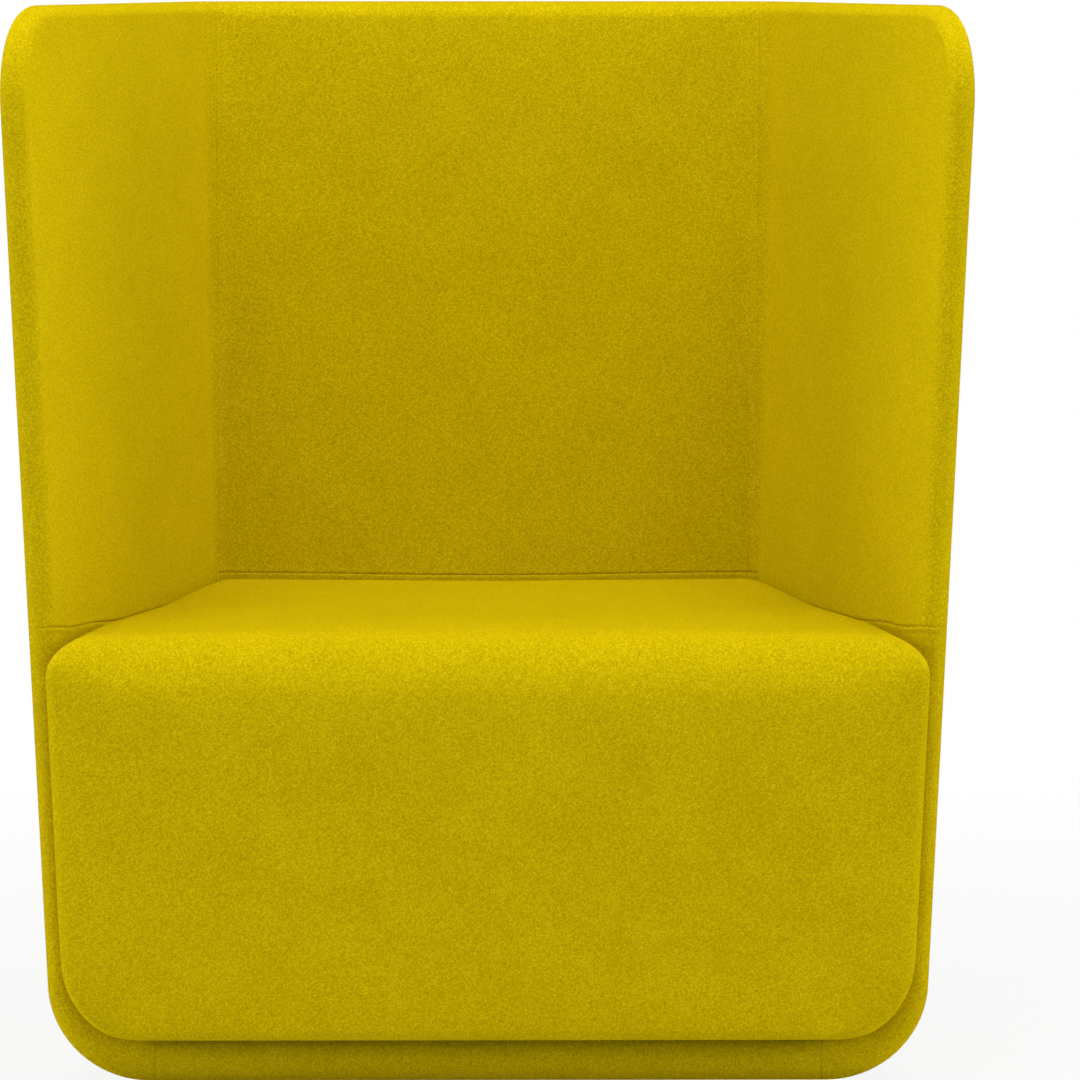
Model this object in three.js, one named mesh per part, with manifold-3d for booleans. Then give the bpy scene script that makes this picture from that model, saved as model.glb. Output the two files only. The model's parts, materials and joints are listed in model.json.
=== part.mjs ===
// Acoustic high back lounge chair: a tub of plywood panels, padded and covered with wool felt, holds an
// upholstered seat block and stands on four levelling glides.
// Millimetres, +Z up. The chair faces -Y and is the same left and right. While it is built, y starts at the
// wings' front edge and z at the tub's underside. At the end all of it moves, so that its footprint is
// centred on the origin and its glides stand on z = 0.
import * as THREE from "three";
import { ConvexGeometry } from "three/addons/geometries/ConvexGeometry.js";
import { mergeVertices } from "three/addons/utils/BufferGeometryUtils.js";
import Module from "manifold-3d";

const wasm = await Module();
wasm.setup();

// Driving dimensions of the tub
const tubHeight = 1078; // underside to the top of the wings and back
const tubHalfWidth = 438; // outer face of a wing's front edge, carried down to the underside
const seatLevel = 453; // top of the seat's edge above the tub's underside
const innerDepth = 550; // wings' front edge to the face of the back, at the seat
const flareDegrees = 2.7; // wings leaning outwards
const splayDegrees = 14.5; // wings opening towards the front, in plan
const reclineDegrees = 7; // back leaning backwards
const seamRise = 7; // lining seam above the seat's edge

// What a wall of the tub is made of, from the outside in
const feltThickness = 2;
const foamThickness = 5.4;
const plyThickness = 12;
const backPadding = 26; // more foam on the face of the back
const floorPadding = 18; // more foam on the floor, along its front edge and in the bends
const layerGap = 0.3; // between glued or stapled layers, and between panels

// Bends and corners of the tub, on its outer face unless said
const bendRadius = 100; // walls into floor
const planCornerRadius = 100; // wings into back
const wingCornerRadius = 100; // top front corner of a wing
const innerCornerLow = 12; // wings into back, inside, up to the lining seam
const innerCornerHigh = 45; // the same at the top
const backRollDrop = 6; // how much deeper the rolled top edge is on the back
const leastRadius = 3;

// Driving dimensions of the seat block
const blockOverhang = 48; // in front of the wings
const blockBottom = 48; // above the tub's underside
const blockClearance = 0.8; // to the lining beside and behind it
const blockCornerRadius = 10; // upright front edges
const blockRearRadius = 14; // upright rear edges
const blockFrontEdge = 58; // front roll of the seat
const blockSideEdge = 40; // side roll of the seat at its front corners
const blockRearEdge = 18; // rear roll of the seat, and its side roll at the rear corners
const blockLowerCorner = 62; // how far the lower edges beside and behind draw in
const blockLowerRise = 80; // how high they start
const blockBottomEdge = 12; // lower edge in front
const seatCrown = 8;
const frontCrown = 3;

// Seat frame and fillings
const boardThickness = 18;
const deckThickness = 12;
const railThickness = 22;
const braceThickness = 22;
const railHeight = 222;
const clothThickness = 0.8;
const clothMargin = 70; // edge of the block to the cloth that closes it underneath
const frameSideInset = 72; // block's face to the frame, beside and behind
const frameFrontInset = 24; // the same in front
const topFoamThickness = 55;
const fillingGap = 0.6; // seat foams to the inside of their cover

// Fasteners and feet
const studRadius = 4;
const studClearance = 0.3;
const barrelRadius = 6;
const flangeRadius = 11;
const flangeThickness = 1.5;
const boltHeadRadius = 6.5;
const boltHeadHeight = 4;
const battenDepth = 60;
const battenEndMargin = 60; // bolt to the end of its batten
const glideRadius = 19;
const glideChamfer = 1.5;
const glideFootHeight = 6.5;
const glideLift = 8; // floor to the tub's underside, glides screwed right in
const glideStudRise = 32; // top of the glide's stud above the floor
const glideSideInset = 30; // to the base panel's side edge
const glideFrontSetback = 95; // from the wings' front edge
const glideRearInset = 45; // to the base panel's rear edge
const boltSideInset = 92;
const boltFrontSetback = 150;
const boltRearInset = 95;

// Underside and joining straps
const edgeStripDepth = 60; // how far the front edge's cover reaches back
const dustThickness = 1;
const dustMargin = 1.5;
const strapThickness = 2;
const strapWidth = 60;
const strapReach = 95; // along each panel, from where the corner's bend ends
const lowerStrapShare = 0.3;
const upperStrapShare = 0.78;

// Facets
const bendSteps = 6;
const cornerSteps = 5;
const edgeSteps = 5;
const rimSteps = 6;
const blockSteps = 5;
const roundSides = 14;
const crownShares = [0.22, 0.55];
const frontShares = [0.3, 0.65];
const overrun = 60; // how far cutting shapes reach past what they cut
const weldDistance = 0.001;

// Worked out from the sizes above
const degree = Math.PI / 180;
const quarter = Math.PI / 2;
const flare = flareDegrees * degree;
const splay = splayDegrees * degree;
const recline = reclineDegrees * degree;
const sinSplay = Math.sin(splay);
const cosSplay = Math.cos(splay);
const plyFace = plyThickness / 2;
const foamInside = plyFace + layerGap;
const foamOutside = foamInside + foamThickness;
const feltInside = foamOutside + layerGap;
const rim = feltInside + feltThickness; // half the wall, and the radius of its rounded edge
const seamHeight = seatLevel + seamRise;
const plyTop = rim + foamOutside;
const plyUnder = rim - foamOutside;
const boardBottom = blockBottom + feltThickness + layerGap;
const boardTop = boardBottom + boardThickness;
const railBottom = boardTop + layerGap;
const railTop = railBottom + railHeight;
const deckBottom = railTop + layerGap;
const deckTop = deckBottom + deckThickness;
const topFoamBottom = seatLevel - topFoamThickness;

// Finishes
const feltFinish = new THREE.MeshStandardMaterial({ color: "#b8a003", roughness: 0.95, metalness: 0 });
const foamFinish = new THREE.MeshStandardMaterial({ color: "#d9d4c0", roughness: 0.9, metalness: 0 });
const plyFinish = new THREE.MeshStandardMaterial({ color: "#c9a877", roughness: 0.6, metalness: 0 });
const clothFinish = new THREE.MeshStandardMaterial({ color: "#1c1c1c", roughness: 0.9, metalness: 0 });
const steelFinish = new THREE.MeshStandardMaterial({ color: "#b9bcc0", roughness: 0.35, metalness: 1 });
const plasticFinish = new THREE.MeshStandardMaterial({ color: "#26262a", roughness: 0.5, metalness: 0 });

const chair = new THREE.Group();

// A closed solid from triangle corners in order. A closed soup that faces inwards is turned round.
function solidFromCorners(corners) {
  const soup = new THREE.BufferGeometry().setFromPoints(corners);
  return solidFromGeometry(soup);
}

function solidFromGeometry(geometry) {
  const bare = geometry.index ? geometry.toNonIndexed() : geometry.clone();
  bare.deleteAttribute("normal");
  bare.deleteAttribute("uv");
  const welded = mergeVertices(bare, weldDistance);
  const faces = [];
  for (let i = 0; i < welded.index.count; i += 3) {
    const [a, b, c] = welded.index.array.subarray(i, i + 3);
    if (a !== b && b !== c && c !== a) faces.push([a, b, c]);
  }
  const vertProperties = new Float32Array(welded.attributes.position.array);
  const made = (list) =>
    new wasm.Manifold(
      new wasm.Mesh({ numProp: 3, vertProperties, triVerts: new Uint32Array(list.flat()) }),
    );
  const solid = made(faces);
  return solid.volume() < 0 ? made(faces.map(([a, b, c]) => [a, c, b])) : solid;
}

function addPiece(name, solid, finish) {
  const mesh = solid.getMesh();
  const geometry = new THREE.BufferGeometry();
  geometry.setAttribute("position", new THREE.BufferAttribute(mesh.vertProperties, 3));
  geometry.setIndex(new THREE.BufferAttribute(mesh.triVerts, 1));
  const piece = new THREE.Mesh(geometry, finish);
  piece.name = name;
  chair.add(piece);
}

function shares(count) {
  return Array.from({ length: count + 1 }, (_, i) => i / count);
}

function pushQuad(corners, a, b, c, d) {
  corners.push(a, b, c, a, c, d);
}

// An upright cylinder between two heights
function roundSolid(x, y, low, high, radius) {
  const profile = [
    new THREE.Vector2(0, low),
    new THREE.Vector2(radius, low),
    new THREE.Vector2(radius, high),
    new THREE.Vector2(0, high),
  ];
  return turnedSolid(x, y, profile);
}

// A profile of (radius, height) points turned about an upright line through x, y.
function turnedSolid(x, y, profile) {
  const geometry = new THREE.LatheGeometry(profile, roundSides);
  geometry.rotateX(quarter).translate(x, y, 0);
  return solidFromGeometry(geometry);
}

// A convex plan outline, low and high, joined by straight sides.
function loftSolid(lowPoints, lowZ, highPoints, highZ) {
  const low = lowPoints.map((p) => new THREE.Vector3(p.x, p.y, lowZ));
  const high = highPoints.map((p) => new THREE.Vector3(p.x, p.y, highZ));
  const corners = [];
  low.forEach((point, i) => {
    const next = (i + 1) % low.length;
    pushQuad(corners, point, low[next], high[next], high[i]);
    if (i > 0 && next > 0) corners.push(low[0], low[next], point, high[0], high[i], high[next]);
  });
  return solidFromCorners(corners);
}

function prismSolid(points, lowZ, highZ) {
  return loftSolid(points, lowZ, points, highZ);
}

// A convex outline, drawn anticlockwise, with every side moved inwards.
function insetOutline(points, distance) {
  const lines = points.map((p, i) => {
    const next = points[(i + 1) % points.length];
    const along = next.clone().sub(p).normalize();
    const inward = new THREE.Vector2(-along.y, along.x);
    return { from: p.clone().addScaledVector(inward, distance), along };
  });
  return lines.map((line, i) => {
    const before = lines[(i + lines.length - 1) % lines.length];
    const between = line.from.clone().sub(before.from);
    const reach = between.cross(line.along) / before.along.cross(line.along);
    return before.from.clone().addScaledVector(before.along, reach);
  });
}

// The line x cos(splay) + y sin(splay) of a wing's sheet at a height. Offsets count outwards from mid wall.
function sideLine(z, offset) {
  const middle = (tubHalfWidth - rim + z * Math.tan(flare)) * cosSplay + rim * sinSplay;
  return middle + offset / Math.cos(flare);
}

// The y of the back's sheet at a height. Padded sheets lie in front of the back's thicker foam.
function backLine(z, offset, padded) {
  const middle = innerDepth + backPadding + rim / Math.cos(recline) + (z - seatLevel) * Math.tan(recline);
  return middle + offset / Math.cos(recline) - (padded ? backPadding : 0);
}

function cornerRadiusAt(z, offset, padded) {
  if (!padded) return planCornerRadius - rim + offset;
  const rise = THREE.MathUtils.clamp((z - seamHeight) / (tubHeight - seamHeight), 0, 1);
  return THREE.MathUtils.lerp(innerCornerLow, innerCornerHigh, rise) + rim + offset;
}

// Columns of a sheet's right half, from the wing's front edge to the back. The roll swells on the back.
function rimColumns() {
  const rimTop = tubHeight - rim;
  const turn = wingCornerRadius - rim;
  const wing = shares(edgeSteps).map((share) => ({
    setback: turn * (1 - Math.cos(share * quarter)),
    top: rimTop - turn * (1 - Math.sin(share * quarter)),
    swell: 1,
  }));
  const corner = shares(cornerSteps).map((share) => ({
    share,
    top: rimTop - backRollDrop * share,
    swell: 1 + (backRollDrop / rim) * share,
  }));
  return wing.concat(corner);
}

// The same for a cutting sheet, which runs on past the front and the top.
function wideColumns() {
  const top = tubHeight + overrun;
  const corner = shares(cornerSteps).map((share) => ({ share, top }));
  return [{ setback: -overrun, top }].concat(corner);
}

// The height of a sheet's floor. Padded sheets lie above the floor's thicker foam.
function floorLevel(offset, padded) {
  return rim - offset + (padded ? floorPadding : 0);
}

// Levels of a sheet, from the floor up through the bend to the seam. Both walls bend by their own angle.
function sheetLevels(offset, padded) {
  const floorZ = floorLevel(offset, padded);
  const bend = bendRadius - rim + offset;
  const levels = shares(bendSteps).map((share) => {
    const wall = (lean) => ({
      inset: bend * (Math.tan((quarter - lean) / 2) - Math.sin(share * (quarter - lean))),
      z: floorZ + bend * (1 - Math.cos(share * (quarter - lean))),
      base: floorZ,
    });
    return { side: wall(flare), back: wall(recline), upright: share };
  });
  return levels.concat([wallLevel(seamHeight)]);
}

function wallLevel(z) {
  const wall = { inset: 0, z, base: z };
  return { side: wall, back: wall, upright: 1 };
}

// A point of a sheet: on the wing's line at its setback, or on the arc that joins the wing to the back.
function sheetPoint(column, level, offset, padded) {
  const side = sideLine(level.side.base, offset) - level.side.inset;
  if (column.setback !== undefined) {
    const y = rim + offset * sinSplay * level.upright + column.setback * cosSplay;
    return new THREE.Vector3((side - y * sinSplay) / cosSplay, y, level.side.z);
  }
  const back = backLine(level.back.base, offset, padded) - level.back.inset;
  const wanted = cornerRadiusAt(level.side.z, offset, padded) - Math.max(level.side.inset, 0);
  const radius = Math.max(wanted, leastRadius);
  const centreY = back - radius;
  const centreX = (side - radius - centreY * sinSplay) / cosSplay;
  const angle = THREE.MathUtils.lerp(splay, quarter, column.share);
  return new THREE.Vector3(
    centreX + radius * Math.cos(angle),
    centreY + radius * Math.sin(angle),
    THREE.MathUtils.lerp(level.side.z, level.back.z, column.share),
  );
}

// A sheet of the tub as columns of points, right wing, back, left wing. Each column starts on the floor's
// middle line, which both halves share.
function tubSheet(offset, padded, columns, lid) {
  const levels = sheetLevels(offset, padded);
  const floorZ = floorLevel(offset, padded);
  const spineEnd = sheetPoint({ share: 0 }, levels[0], offset, padded).y;
  const right = columns.map((column) => {
    const points = levels.concat([wallLevel(column.top)]).map((l) => sheetPoint(column, l, offset, padded));
    const spineY = column.setback === undefined ? spineEnd : points[0].y;
    points.unshift(new THREE.Vector3(0, spineY, floorZ));
    if (lid) points.push(new THREE.Vector3(0, spineY, column.top));
    return points;
  });
  const left = right.map((points) => points.map((p) => new THREE.Vector3(-p.x, p.y, p.z)));
  return right.concat(left.reverse());
}

function pushSheet(corners, sheet, outward) {
  for (let j = 0; j + 1 < sheet.length; j += 1) {
    for (let i = 0; i + 1 < sheet[j].length; i += 1) {
      const quad = [sheet[j][i], sheet[j + 1][i], sheet[j + 1][i + 1], sheet[j][i + 1]];
      pushQuad(corners, ...(outward ? quad : quad.reverse()));
    }
  }
}

// The points of a sheet's edge in order: up the right wing's front, along the top and down the left wing.
function sheetEdge(sheet) {
  const last = sheet.length - 1;
  const up = sheet[0];
  const along = sheet.slice(1, last).map((column) => column[column.length - 1]);
  const down = sheet[last].slice(1).reverse();
  return up.concat(along, down);
}

// The whole wall at a half thickness, with a rounded edge that bulges out from the line halfway through it.
function tubLayer(half, padded) {
  const columns = rimColumns();
  const outer = tubSheet(half, false, columns, false);
  const inner = tubSheet(-half, padded, columns, false);
  const corners = [];
  pushSheet(corners, outer, true);
  pushSheet(corners, inner, false);
  const outerEdge = sheetEdge(outer);
  const innerEdge = sheetEdge(inner);
  const rise = outer[0].length;
  const swells = columns.slice(1).map((column) => column.swell);
  const turns = Array(rise).fill(1).concat(swells, swells.slice().reverse(), Array(rise).fill(1));
  const middles = outerEdge.map((p, i) => p.clone().add(innerEdge[i]).multiplyScalar(1 / 2));
  const rings = middles.map((middle, i) => {
    const across = outerEdge[i].clone().sub(middle);
    const next = middles[(i + 1) % middles.length];
    const before = middles[(i + middles.length - 1) % middles.length];
    const along = next.clone().sub(before);
    const out = across.clone().cross(along).setLength(half * turns[i]);
    return shares(rimSteps).map((share) => {
      const turn = share * Math.PI;
      return middle.clone().addScaledVector(across, Math.cos(turn)).addScaledVector(out, Math.sin(turn));
    });
  });
  rings.forEach((ring, i) => {
    const next = rings[(i + 1) % rings.length];
    for (let k = 0; k < rimSteps; k += 1) {
      pushQuad(corners, ring[k], next[k], next[k + 1], ring[k + 1]);
    }
  });
  return solidFromCorners(corners);
}

// Everything inside a sheet that runs on past the tub's front and top.
function insideSolid(offset) {
  const sheet = tubSheet(offset, false, wideColumns(), true);
  const corners = [];
  pushSheet(corners, sheet, true);
  const right = sheet[0];
  const left = sheet[sheet.length - 1];
  for (let i = 0; i + 1 < right.length; i += 1) {
    pushQuad(corners, left[i], right[i], right[i + 1], left[i + 1]);
  }
  return solidFromCorners(corners);
}

// Plan outlines that part the tub into base, back and wings, at a height. They meet in the bends' centres.
function regionOutlines(z) {
  const radius = planCornerRadius - rim;
  const side = sideLine(z, 0) - radius;
  const cornerY = backLine(z, 0, false) - radius;
  const point = (y, reach = 0, angle = 0) => {
    const x = (side - y * sinSplay) / cosSplay;
    return new THREE.Vector2(x + reach * Math.cos(angle), y + reach * Math.sin(angle));
  };
  const far = tubHalfWidth;
  const middle = (splay + quarter) / 2;
  const front = point(-overrun);
  const corner = point(cornerY);
  const beyond = point(cornerY, far, middle);
  const mirrored = (p) => new THREE.Vector2(-p.x, p.y);
  return {
    base: [front, corner, mirrored(corner), mirrored(front)],
    right: [front, point(-overrun, far), beyond, corner],
    back: [corner, beyond, mirrored(beyond), mirrored(corner)],
    left: [mirrored(front), mirrored(corner), mirrored(beyond), mirrored(point(-overrun, far))],
  };
}

function regionSolid(name, margin) {
  const lowZ = -overrun;
  const highZ = tubHeight + overrun;
  const outline = (z) => insetOutline(regionOutlines(z)[name], margin);
  return loftSolid(outline(lowZ), lowZ, outline(highZ), highZ);
}

function slabSolid(lowZ, highZ) {
  const far = tubHalfWidth + innerDepth;
  const square = [
    new THREE.Vector2(-far, -far),
    new THREE.Vector2(far, -far),
    new THREE.Vector2(far, far),
    new THREE.Vector2(-far, far),
  ];
  return prismSolid(square, lowZ, highZ);
}

// A box in plan, for trims across the chair
function bandSolid(frontY, rearY, lowZ, highZ) {
  const far = tubHalfWidth + overrun;
  const band = [
    new THREE.Vector2(-far, frontY),
    new THREE.Vector2(far, frontY),
    new THREE.Vector2(far, rearY),
    new THREE.Vector2(-far, rearY),
  ];
  return prismSolid(band, lowZ, highZ);
}

// A radius of the block's face, at an inset from it
function blockRadius(radius, inset) {
  return Math.max(radius - inset, leastRadius);
}

// Levels of the block from its underside to the top of its rolls. Sides and ends have their own radii.
function blockLevels(inset, bottom, top) {
  const rising = (inwards, upwards, turn) => ({
    drawn: blockRadius(inwards, inset) * (1 - Math.sin(turn)),
    z: bottom + blockRadius(upwards, inset) * (1 - Math.cos(turn)),
  });
  const rolling = (radius, turn) => ({
    drawn: blockRadius(radius, inset) * (1 - Math.cos(turn)),
    z: top - blockRadius(radius, inset) * (1 - Math.sin(turn)),
  });
  const turns = shares(blockSteps).map((share) => share * quarter);
  const low = turns.map((turn) => ({
    side: rising(blockLowerCorner, blockLowerRise, turn),
    front: rising(blockBottomEdge, blockBottomEdge, turn),
    rear: rising(blockLowerCorner, blockLowerRise, turn),
  }));
  const high = turns.map((turn) => ({
    side: rolling(blockSideEdge, turn),
    front: rolling(blockFrontEdge, turn),
    rear: rolling(blockRearEdge, turn),
  }));
  return low.concat(high);
}

// The right half of a ring round the block, from the middle of its front to the middle of its rear.
function blockRing(level, inset) {
  const front = inset - blockOverhang + level.front.drawn;
  const rear = backLine(level.rear.z, -rim, true) - blockClearance - inset - level.rear.drawn;
  const arc = (radius, centreY, from, to, edge) => {
    const side = sideLine(edge.z, -rim) - blockClearance - inset - edge.drawn;
    const centreX = (side - radius - centreY * sinSplay) / cosSplay;
    return shares(blockSteps - 1).map((share) => {
      const angle = THREE.MathUtils.lerp(from, to, share);
      const x = centreX + radius * Math.cos(angle);
      const y = centreY + radius * Math.sin(angle);
      return new THREE.Vector3(x, y, edge.z);
    });
  };
  const frontRadius = blockRadius(blockCornerRadius, inset);
  const rearRadius = blockRadius(blockRearRadius, inset);
  const frontArc = arc(frontRadius, front + frontRadius, -quarter, splay, level.side);
  const rearArc = arc(rearRadius, rear - rearRadius, splay, quarter, level.rear);
  const bulge = (share) => {
    const x = frontArc[0].x * share;
    return new THREE.Vector3(x, front - frontCrown * (1 - share * share), level.front.z);
  };
  const frontPoints = [0].concat(frontShares).map(bulge);
  const rearMiddle = new THREE.Vector3(0, rear, level.rear.z);
  return frontPoints.concat(frontArc, rearArc, [rearMiddle]);
}

// Points drawn in towards the middle of their box, by a margin on each of its six sides
function drawnIn(points, margin) {
  const box = new THREE.Box3().setFromPoints(points);
  const centre = box.getCenter(new THREE.Vector3());
  const size = box.getSize(new THREE.Vector3());
  const scale = size.clone().subScalar(2 * margin).divide(size);
  return points.map((p) => p.clone().sub(centre).multiply(scale).add(centre));
}

// The block at an inset from its cover's face, as the hull of its rings: crowned on top, flat underneath.
function blockSolid(inset, bottom, margin = 0) {
  const top = seatLevel - inset;
  const halfRings = blockLevels(inset, bottom, top).map((level) => blockRing(level, inset));
  const rings = halfRings.map((half) => {
    const left = half.slice(1, -1).map((p) => new THREE.Vector3(-p.x, p.y, p.z));
    return half.concat(left.reverse());
  });
  const topRing = rings[rings.length - 1];
  const depth = topRing[halfRings[0].length - 1].y - topRing[0].y;
  const centre = new THREE.Vector3(0, topRing[0].y + depth / 2, top);
  crownShares.forEach((share) => {
    const rise = seatCrown * (1 - (1 - share) * (1 - share));
    rings.push(topRing.map((p) => p.clone().lerp(centre, share).setZ(top + rise)));
  });
  rings.push([centre.clone().setZ(top + seatCrown)]);
  return solidFromGeometry(new ConvexGeometry(drawnIn(rings.flat(), margin)));
}

// A plan outline inside the block, drawn in by one amount in front and by another beside and behind.
function blockOutline(sideInset, frontInset, z) {
  const side = sideLine(z, -rim) - blockClearance - sideInset;
  const front = frontInset - blockOverhang;
  const rear = backLine(z, -rim, true) - blockClearance - sideInset;
  const widthAt = (y) => (side - y * sinSplay) / cosSplay;
  return [
    new THREE.Vector2(-widthAt(front), front),
    new THREE.Vector2(widthAt(front), front),
    new THREE.Vector2(widthAt(rear), rear),
    new THREE.Vector2(-widthAt(rear), rear),
  ];
}

const sides = [
  { name: "left", sign: -1 },
  { name: "right", sign: 1 },
];

// A place on the base panel, counted in from its side edge
function basePlace(sign, y, sideInset) {
  const [front, rear] = regionOutlines(0).base;
  const edge = THREE.MathUtils.mapLinear(y, front.y, rear.y, front.x, rear.x);
  return { x: sign * (edge - sideInset), y };
}

const baseRearY = regionOutlines(0).base[1].y;
const ends = [
  { name: "front", glideY: glideFrontSetback, boltY: boltFrontSetback },
  { name: "rear", glideY: baseRearY - glideRearInset, boltY: baseRearY - boltRearInset },
];
const stations = sides.flatMap((side) =>
  ends.map((end) => ({
    name: end.name + "_" + side.name,
    glide: basePlace(side.sign, end.glideY, glideSideInset),
    bolt: basePlace(side.sign, end.boltY, boltSideInset),
  })),
);

function withHoles(solid, points, radius, lowZ, highZ) {
  return points.reduce(
    (made, p) => made.subtract(roundSolid(p.x, p.y, lowZ - overrun, highZ + overrun, radius)),
    solid,
  );
}

const glidePoints = stations.map((station) => station.glide);
const boltPoints = stations.map((station) => station.bolt);
const panels = ["left", "back", "right"];

// Plywood: three upright panels, each with its bend, and a thicker base
function addPanels(regions, plyLayer) {
  panels.forEach((name) => addPiece(name + "_ply_panel", plyLayer.intersect(regions[name]), plyFinish));
  const base = tubLayer(foamOutside, false).intersect(tubLayer(foamOutside, true)).intersect(regions.base);
  const drilled = withHoles(base, glidePoints, barrelRadius + layerGap, plyUnder, plyTop);
  const panel = withHoles(drilled, boltPoints, studRadius + studClearance, plyUnder, plyTop);
  addPiece("base_ply_panel", panel, plyFinish);
}

// A band of the plywood's outer face that runs round one rear corner, at a height and between two depths
function strapBand(sign, z, width, reach, layer) {
  const corner = regionOutlines(z).right[3];
  const radius = Math.hypot(planCornerRadius, reach);
  const near = roundSolid(corner.x * sign, corner.y, z - strapWidth, z + strapWidth, radius);
  return layer.intersect(slabSolid(z - width / 2, z + width / 2)).intersect(near);
}

const straps = sides.flatMap((side) => [
  { name: "lower_" + side.name, sign: side.sign, z: tubHeight * lowerStrapShare },
  { name: "upper_" + side.name, sign: side.sign, z: tubHeight * upperStrapShare },
]);

// Steel straps that join the panels round each rear corner, set into the foam inside the tub
function addStraps() {
  const layer = tubLayer(foamInside + strapThickness, false).subtract(tubLayer(foamInside, false));
  const inner = layer.intersect(insideSolid(0));
  straps.forEach(({ name, sign, z }) => {
    addPiece(name + "_corner_strap", strapBand(sign, z, strapWidth, strapReach, inner), steelFinish);
  });
}

// Clearance cut round the straps: the same bands, wider, longer and deeper by the layers' gap
function strapPockets() {
  const depth = foamInside + strapThickness + layerGap;
  const layer = tubLayer(depth, false).subtract(tubLayer(plyFace, false)).intersect(insideSolid(0));
  const width = strapWidth + 2 * layerGap;
  return straps.map(({ sign, z }) => strapBand(sign, z, width, strapReach + layerGap, layer));
}

function addPadding(regions, foamLayer, inside, outside) {
  const outer = foamLayer.subtract(outside);
  const whole = foamLayer.intersect(inside);
  const inner = strapPockets().reduce((made, pocket) => made.subtract(pocket), whole);
  panels.forEach((name) => {
    addPiece(name + "_outer_foam", outer.intersect(regions[name]), foamFinish);
    addPiece(name + "_inner_foam", inner.intersect(regions[name]), foamFinish);
  });
  const lip = bandSolid(-overrun, edgeStripDepth, plyTop + layerGap, tubHeight);
  addPiece("front_edge_foam", foamLayer.intersect(regions.base).intersect(lip), foamFinish);
}

// Felt: outer covers, inner covers above the seam, linings below it, and the strip round the front edge
function addCovers(regions, feltLayer, inside, outside) {
  const outer = feltLayer.subtract(outside);
  const inner = feltLayer.intersect(inside);
  const upper = inner.intersect(slabSolid(seamHeight + layerGap / 2, tubHeight + overrun));
  const lower = inner.intersect(slabSolid(-overrun, seamHeight - layerGap / 2));
  panels.forEach((name) => {
    addPiece(name + "_outer_cover", outer.intersect(regions[name]), feltFinish);
    addPiece(name + "_inner_cover", upper.intersect(regions[name]), feltFinish);
    addPiece(name + "_seat_well_lining", lower.intersect(regions[name]), feltFinish);
  });
  const strip = bandSolid(-overrun, edgeStripDepth, -overrun, tubHeight);
  addPiece("front_edge_cover", feltLayer.intersect(regions.base).intersect(strip), feltFinish);
}

function addDustCover() {
  const region = regionSolid("base", dustMargin);
  const low = plyUnder - layerGap - dustThickness;
  const area = bandSolid(edgeStripDepth + dustMargin, innerDepth, low, plyUnder - layerGap);
  const glideHoles = withHoles(region.intersect(area), glidePoints, barrelRadius, low, plyUnder);
  const cover = withHoles(glideHoles, boltPoints, boltHeadRadius + studClearance, low, plyUnder);
  addPiece("underside_dust_cover", cover, clothFinish);
}

// A point on the line through two plan points, at a given y
function linePoint(a, b, y) {
  return new THREE.Vector2(THREE.MathUtils.mapLinear(y, a.y, b.y, a.x, b.x), y);
}

function mirroredOutline(points) {
  return points.map((p) => new THREE.Vector2(-p.x, p.y)).reverse();
}

// The seat block's frame: base board, four rails, a brace and a deck
function addSeatFrame() {
  const outline = blockOutline(frameSideInset, frameFrontInset, boardBottom);
  const inner = insetOutline(outline, railThickness);
  const board = prismSolid(outline, boardBottom, boardTop);
  const drilled = withHoles(board, boltPoints, barrelRadius + layerGap, boardBottom, boardTop);
  addPiece("seat_base_board", drilled, plyFinish);
  const [frontLeft, frontRight, rearRight, rearLeft] = outline;
  const [, innerFront, innerRear] = inner;
  const leftEdge = (y) => linePoint(frontLeft, rearLeft, y);
  const rightEdge = (y) => linePoint(frontRight, rearRight, y);
  const innerEdge = (y) => linePoint(innerFront, innerRear, y);
  const addRail = (name, points) => addPiece(name, prismSolid(points, railBottom, railTop), plyFinish);
  addRail("seat_front_rail", [frontLeft, frontRight, rightEdge(innerFront.y), leftEdge(innerFront.y)]);
  addRail("seat_rear_rail", [leftEdge(innerRear.y), rightEdge(innerRear.y), rearRight, rearLeft]);
  const startY = innerFront.y + layerGap;
  const endY = innerRear.y - layerGap;
  const sideRail = [innerEdge(startY), rightEdge(startY), rightEdge(endY), innerEdge(endY)];
  addRail("seat_right_rail", sideRail);
  addRail("seat_left_rail", mirroredOutline(sideRail));
  const half = braceThickness / 2;
  const braceFace = [new THREE.Vector2(half, startY), new THREE.Vector2(half, endY)];
  addRail("seat_centre_brace", braceFace.concat(mirroredOutline(braceFace)));
  addPiece("seat_deck", prismSolid(outline, deckBottom, deckTop), plyFinish);
}

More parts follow.
